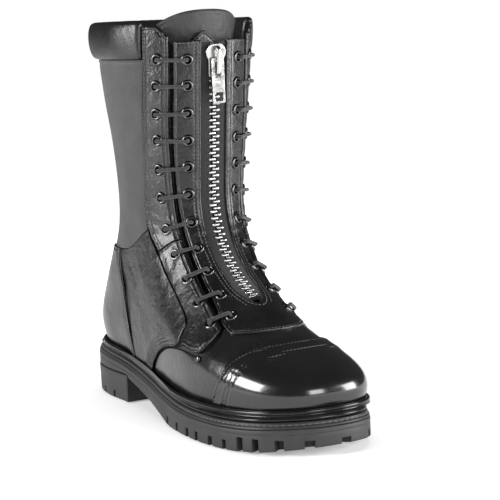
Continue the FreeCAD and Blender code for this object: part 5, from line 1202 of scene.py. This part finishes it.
def prism(poly, z0, z1, shrink=0.0):
    """closed prism, narrower at its top"""
    P = np.array(poly, float); c = P.mean(0)
    T = P+(c-P)*shrink
    V = np.concatenate([np.column_stack([P, np.full(len(P), z0)]), np.column_stack([T, np.full(len(P), z1)])])
    n = len(P)
    F = [tuple(range(n-1, -1, -1)), tuple(range(n, 2*n))]+[(k, (k+1) % n, n+(k+1) % n, n+k) for k in range(n)]
    return V, F
NOTCH = [(-55.1, -23.6, 3.4), (-59.5, -43.7, 3.4), (-61.8, -62.2, 4.2), (-62.0, -76.2, 3.2), (-60.7, -93.8, 4.6), (-57.5, -109.0, 3.2), (-52.3, -123.3, 4.8), (-45.9, -135.4, 4.4),
         (-33.9, -148.9, 5.6), (-16.5, -161.0, 6.4), (9.0, -167.0, 6.4), (33.5, -157.5, 5.6), (44.5, -141.5, 4.6), (51.0, -124.0, 4.8), (54.5, -107.0, 3.4), (55.3, -90.0, 4.6), (54.3, -73.0, 3.4), (51.0, -57.0, 4.2), (46.5, -41.0, 3.4), (42.0, -25.0, 3.4)]
HNOTCH = [(-43.2, 84, 3.4), (-42.8, 103, 3.4), (-38.5, 124, 4.0), (-21.5, 141.5, 4.4), (-3, 145, 4.4), (15.5, 141.5, 4.4), (32.5, 124, 4.0), (37, 103, 3.4), (36.6, 84, 3.4)]
def groove(x, y, w, deep):
    i = int(np.argmin((RIM[:, 0]-x)**2+(RIM[:, 1]-y)**2))
    t = RIM[(i+1) % len(RIM)]-RIM[i-1]; t = t/np.linalg.norm(t)
    n = np.array([t[1], -t[0]])
    if n[0]*(x+3)+n[1]*(y+60) < 0: n = -n
    p, q_ = np.array([x, y])+n*4, np.array([x, y])-n*deep
    h2 = w/2
    return [tuple(p+t*h2), tuple(q_+t*h2*0.8), tuple(q_-t*h2*0.8), tuple(p-t*h2)]
def carve(o, cutters, bevel=0.35):
    V_, F_ = join(cutters)
    me = bpy.data.meshes.new("cutters")
    me.from_pydata([tuple((p+SHIFT)*MM) for p in V_], [], F_); me.update()
    b_ = bmesh.new(); b_.from_mesh(me); bmesh.ops.recalc_face_normals(b_, faces=b_.faces); b_.to_mesh(me); b_.free()
    c = bpy.data.objects.new("cutters", me); bpy.context.scene.collection.objects.link(c)
    md = o.modifiers.new("cut", "BOOLEAN"); md.operation = "DIFFERENCE"; md.object = c; md.solver = "EXACT"; md.use_self = True
    if bevel:
        bv = o.modifiers.new("edge", "BEVEL"); bv.width = bevel*MM; bv.segments = 2; bv.limit_method = "ANGLE"; bv.angle_limit = math.radians(50); bv.harden_normals = False
    dg = bpy.context.evaluated_depsgraph_get()
    m2 = bpy.data.meshes.new_from_object(o.evaluated_get(dg))
    o.modifiers.clear(); o.data = m2
    bpy.data.objects.remove(c)
    for f in m2.polygons: f.use_smooth = True
    m2.set_sharp_from_angle(angle=math.radians(38))
cuts = []
for x, y, w in NOTCH:
    top_z = 10.0 if y < -115 else 6.2
    cuts.append(prism(groove(x, y, w*1.25+0.3, 13.0), -6.0, top_z+0.8, 0.06))
for k in range(6):
    y0 = -128+18.5*k; w = 2.2; cx = -1.5-0.6*k+(4.0 if k < 1 else 0)
    cuts.append(prism([(cx-27, y0-w+5), (cx-9, y0-w), (cx+3, y0-w+7), (cx+24, y0-w+1), (cx+24, y0+w+1), (cx+3, y0+w+7), (cx-9, y0+w), (cx-27, y0+w+5)], -6.0, 6.0, 0.0))
carve(outsole, cuts)

# heel block: its own outline, cut square to the breast
hp = closed_curve(OUTLINE, 40)
hy = HB
L_ = hp[(hp[:, 1] >= hy)]
# from the lateral breast corner round the back to the medial breast corner
c_ = np.roll(hp, -int(np.argmin(hp[:, 1])), axis=0)
run_ = c_[(c_[:, 1] >= hy+1.2)]
back = run_[::-1] if run_[0, 0] > run_[-1, 0] else run_
front_ = np.array([(x, hy+3.0*math.cos((x+3)/45.0*math.pi/2)) for x in np.linspace(back[-1, 0]-0.8, back[0, 0]+0.8, 40)])
hc = np.concatenate([back, front_])
Lh = np.concatenate([[0], np.cumsum(np.linalg.norm(np.diff(np.concatenate([hc, hc[:1]]), axis=0), axis=1))])
at_ = np.linspace(0, Lh[-1], 321)[:-1]
hcc = np.concatenate([hc, hc[:1]])
HC = np.stack([np.interp(at_, Lh, hcc[:, 0]), np.interp(at_, Lh, hcc[:, 1])], 1)
hv, hf = [], []
levels = [(1.2, 21.45), (0.55, 21.4), (0.25, 21.1), (0.12, 20.4), (0.3, 16.0), (0.45, 10.0), (0.5, 4.0), (0.55, 1.4), (0.85, 0.6), (1.4, 0.12), (2.2, 0.0)]
for d_, z_ in levels:
    p = inset(HC, d_)
    hv.append(np.column_stack([p, np.full(len(p), z_)]))
nh = len(HC)
for i in range(len(levels)-1):
    for k in range(nh):
        hf.append((i*nh+k, (i+1)*nh+k, (i+1)*nh+(k+1) % nh, i*nh+(k+1) % nh))
hf.append(tuple(range(nh))); hf.append(tuple((len(levels)-1)*nh+k for k in range(nh-1, -1, -1)))
heel = put("heel_block_rubber", np.concatenate(hv), hf, M_SOLE, replaces=["heel_block"], smooth_deg=0)
fixed_normals(heel)
cuts = [prism(groove(x, y, w, 11.0), -6.0, 6.0, 0.10) for x, y, w in HNOTCH]
for ya, yb in ((92, 96), (108, 112), (76, 80)):
    cuts.append(prism([(-22, ya), (16, ya), (16, yb), (-22, yb)], -6.0, 6.0))
carve(heel, cuts)

# midsole with its sewn channel
prof = [(RIM, 9.0, drop(4.8)), (RIM, 4.2, drop(4.8)), (RIM, 3.3, drop(4.85)), (RIM, 2.9, drop(5.2)), (RIM, 2.35, drop(6.1)), (RIM, 2.45, drop(6.35)), (RIM, 2.2, drop(6.75)), (RIM, 1.95, drop(6.8)), (RIM, 1.35, drop(7.8)), (RIM, 1.0, drop(8.3)), (RIM, 0.92, drop(8.7)), (RIM, 1.1, drop(9.0)), (RIM, 1.6, drop(9.15)), (RIM, 9.0, drop(9.15))]
V_, F_ = rings(prof)
mid = put("midsole_rubber", V_, F_, M_MID, replaces=["midsole"], smooth_deg=0)
fixed_normals(mid)
rowp = inset(RIM, 2.25)
P_ = np.column_stack([rowp, zs(rowp[:, 1])-6.42]); P_ = np.concatenate([P_, P_[:1]])
n2 = (rowp-inset(RIM, 3.25)); n2 = n2/np.linalg.norm(n2, axis=1, keepdims=True)
N_ = np.column_stack([n2*0.75, np.full(len(n2), 0.66)]); N_ = np.concatenate([N_, N_[:1]])
stitches("midsole_stitching", [(P_, N_)], M_THREAD, pitch=4.4, long=3.5, r=0.50, sink=0.20)

# welt: glossy bead round the upper, with a narrow ledge outside it
_v = np.linspace(-1, 1, 721)[:-1]
_q = Q(_v, np.full(720, 32.2))+normal(_v, np.full(720, 32.2))*1.75
HUG = paired(_q[:, :2], NR)
GAP = RIM-HUG
GL = np.maximum(np.linalg.norm(GAP, axis=1, keepdims=True), 0.5)
for _ in range(6): GL = (np.roll(GL, 1, axis=0)+GL+np.roll(GL, -1, axis=0))/3
NB = -(inset(HUG, 1.0)-HUG)
def out(d):
    """d mm outside the upper, never nearer than 2.6 mm to the rim of the sole"""
    return HUG+NB*np.minimum(d, np.maximum(GL-2.6+0.12*d, 0.6))
ring_ = []
for a in range(0, 11):
    th = math.radians(150-a*24)
    ring_.append((1.9+1.6*math.cos(th), 0.55+1.6*math.sin(th)))
prof = [(out(-1.2), 0, drop(4.45)), (out(-1.2), 0, drop(-0.6))]+[(out(x), 0, drop(-h-0.5)) for x, h in ring_ if h > -1.2]
prof += [(out(3.6), 0, drop(1.5)), (RIM, 3.9, drop(1.9)), (RIM, 3.2, drop(2.15)), (RIM, 2.85, drop(2.6)), (RIM, 2.8, drop(3.3)), (RIM, 3.2, drop(3.8)), (RIM, 4.1, drop(4.0)), (RIM, 4.2, drop(4.45))]
V_, F_ = rings(prof, caps=False, closed=True)
welt = put("storm_welt_bead", V_, F_, M_WELT, replaces=["storm_welt"], smooth_deg=0)
fixed_normals(welt)

# ------------------------------------------------------------------ sewing and rivets
for key, rows in pieces_rows.items():
    stitches(key+"_stitching", rows, M_THREAD, pitch=2.7 if "nylon" not in key else 3.2, long=2.0, r=0.38, sink=0.10)
# small oval bartack where the sewn band ends
for sg in (-1, 1):
    p = Q(np.array([sg*0.300]), np.array([59.0]))[0]; n = normal(np.array([sg*0.300]), np.array([59.0]))[0]
    lathe("band_rivet_"+("lateral" if sg < 0 else "medial"), [(p+n*1.2, n)], [(0.02, 1.15), (1.0, 1.1), (1.9, 0.85), (2.5, 0.35), (2.7, -0.2), (2.6, -0.6)], M_EYELET)

# ------------------------------------------------------------------ padded collar blown up from inside
SIM.append(("collar", inflate(collar, 0.0022, 3.0, 14, 0.0022)))
print("cloth:", SIM)

# ------------------------------------------------------------------ camera, floor and light
def look(az, el, D, target, roll):
    a, e = math.radians(az), math.radians(el)
    back = Vector((math.sin(a)*math.cos(e), -math.cos(a)*math.cos(e), math.sin(e)))
    fwd = -back
    right = fwd.cross(Vector((0, 0, 1))).normalized(); up_ = right.cross(fwd)
    r = math.radians(roll)
    R2 = right*math.cos(r)+up_*math.sin(r); U2 = -right*math.sin(r)+up_*math.cos(r)
    return Matrix(((R2.x, U2.x, back.x, 0), (R2.y, U2.y, back.y, 0), (R2.z, U2.z, back.z, 0), (0, 0, 0, 1))), target+back*D, right, up_, back
TARGET = Vector((0.0355635, 0.01395, 0.116651))
rot, place_, CR, CU, CB = look(-29.6195, 8.16196, 1.27538, TARGET, -2.3287)
cam = bpy.data.cameras.new("camera"); cam.lens = 122.43; cam.sensor_width = 36.0; cam.dof.use_dof = False
cam.clip_start, cam.clip_end = 0.05, 30
co = bpy.data.objects.new("camera", cam); co.matrix_world = Matrix.Translation(place_) @ rot
bpy.context.scene.collection.objects.link(co); bpy.context.scene.camera = co

bm = bmesh.new(); bmesh.ops.create_grid(bm, x_segments=8, y_segments=8, size=6.0)
me = bpy.data.meshes.new("floor"); bm.to_mesh(me); bm.free()
floor = bpy.data.objects.new("floor", me); floor.location = (0, 0, -0.0004)
bpy.context.scene.collection.objects.link(floor)
M_FLOOR, nt, b = mat_new("pale_floor")
b.inputs["Base Color"].default_value = (0.90, 0.90, 0.90, 1); b.inputs["Roughness"].default_value = 0.85
b.inputs["Specular IOR Level"].default_value = 0.1
tc = nt.nodes.new("ShaderNodeTexCoord"); ln = nt.nodes.new("ShaderNodeVectorMath"); ln.operation = "LENGTH"
nt.links.new(tc.outputs["Object"], ln.inputs[0])
b.inputs["Emission Color"].default_value = (1, 1, 1, 1)
mr = nt.nodes.new("ShaderNodeMapRange"); mr.interpolation_type = "SMOOTHSTEP"
mr.inputs["From Min"].default_value = 0.12; mr.inputs["From Max"].default_value = 0.75
mr.inputs["To Min"].default_value = 0.30; mr.inputs["To Max"].default_value = 1.0
nt.links.new(ln.outputs["Value"], mr.inputs["Value"])
lp_ = nt.nodes.new("ShaderNodeLightPath")
seen = math_(nt, "ADD", math_(nt, "MULTIPLY", lp_.outputs["Is Camera Ray"], 0.68), 0.32)
nt.links.new(math_(nt, "MULTIPLY", mr.outputs["Result"], seen), b.inputs["Emission Strength"])
me.materials.append(M_FLOOR)

def area(name, at, size, power, aim=TARGET, color=(1, 1, 1)):
    l = bpy.data.lights.new(name, "AREA"); l.shape = "RECTANGLE"; l.size, l.size_y = size; l.energy = power; l.color = color
    o = bpy.data.objects.new(name, l); o.location = at
    o.rotation_euler = (Vector(aim)-Vector(at)).to_track_quat("-Z", "Y").to_euler()
    bpy.context.scene.collection.objects.link(o)
    return o
area("soft_right", TARGET+CR*1.02+CB*0.26+Vector((0, 0, 0.10)), (0.50, 0.60), 12)
area("soft_front", TARGET+CR*0.56+CB*1.00+Vector((0, 0, 0.10)), (0.46, 0.46), 6)
area("soft_left", TARGET-CR*1.10+CB*0.46+Vector((0, 0, 0.34)), (0.38, 0.62), 16)
top_light = area("soft_top", TARGET-CB*0.35+Vector((0, 0, 1.20)), (1.2, 1.0), 9)
top_light.visible_glossy = False
w = bpy.data.worlds.new("studio"); w.use_nodes = True; bpy.context.scene.world = w
nw = w.node_tree
bg = nw.nodes["Background"]
bg.inputs["Color"].default_value = (1, 1, 1, 1); bg.inputs["Strength"].default_value = 0.05
bg2 = nw.nodes.new("ShaderNodeBackground"); bg2.inputs["Color"].default_value = (1, 1, 1, 1); bg2.inputs["Strength"].default_value = 1.0
lp = nw.nodes.new("ShaderNodeLightPath"); mx = nw.nodes.new("ShaderNodeMixShader")
nw.links.new(lp.outputs["Is Camera Ray"], mx.inputs[0]); nw.links.new(bg.outputs[0], mx.inputs[1]); nw.links.new(bg2.outputs[0], mx.inputs[2])
nw.links.new(mx.outputs[0], nw.nodes["World Output"].inputs["Surface"])
vs = bpy.context.scene.view_settings
vs.view_transform = "Standard"; vs.look = "None"; vs.exposure = 0.0; vs.gamma = 1.0
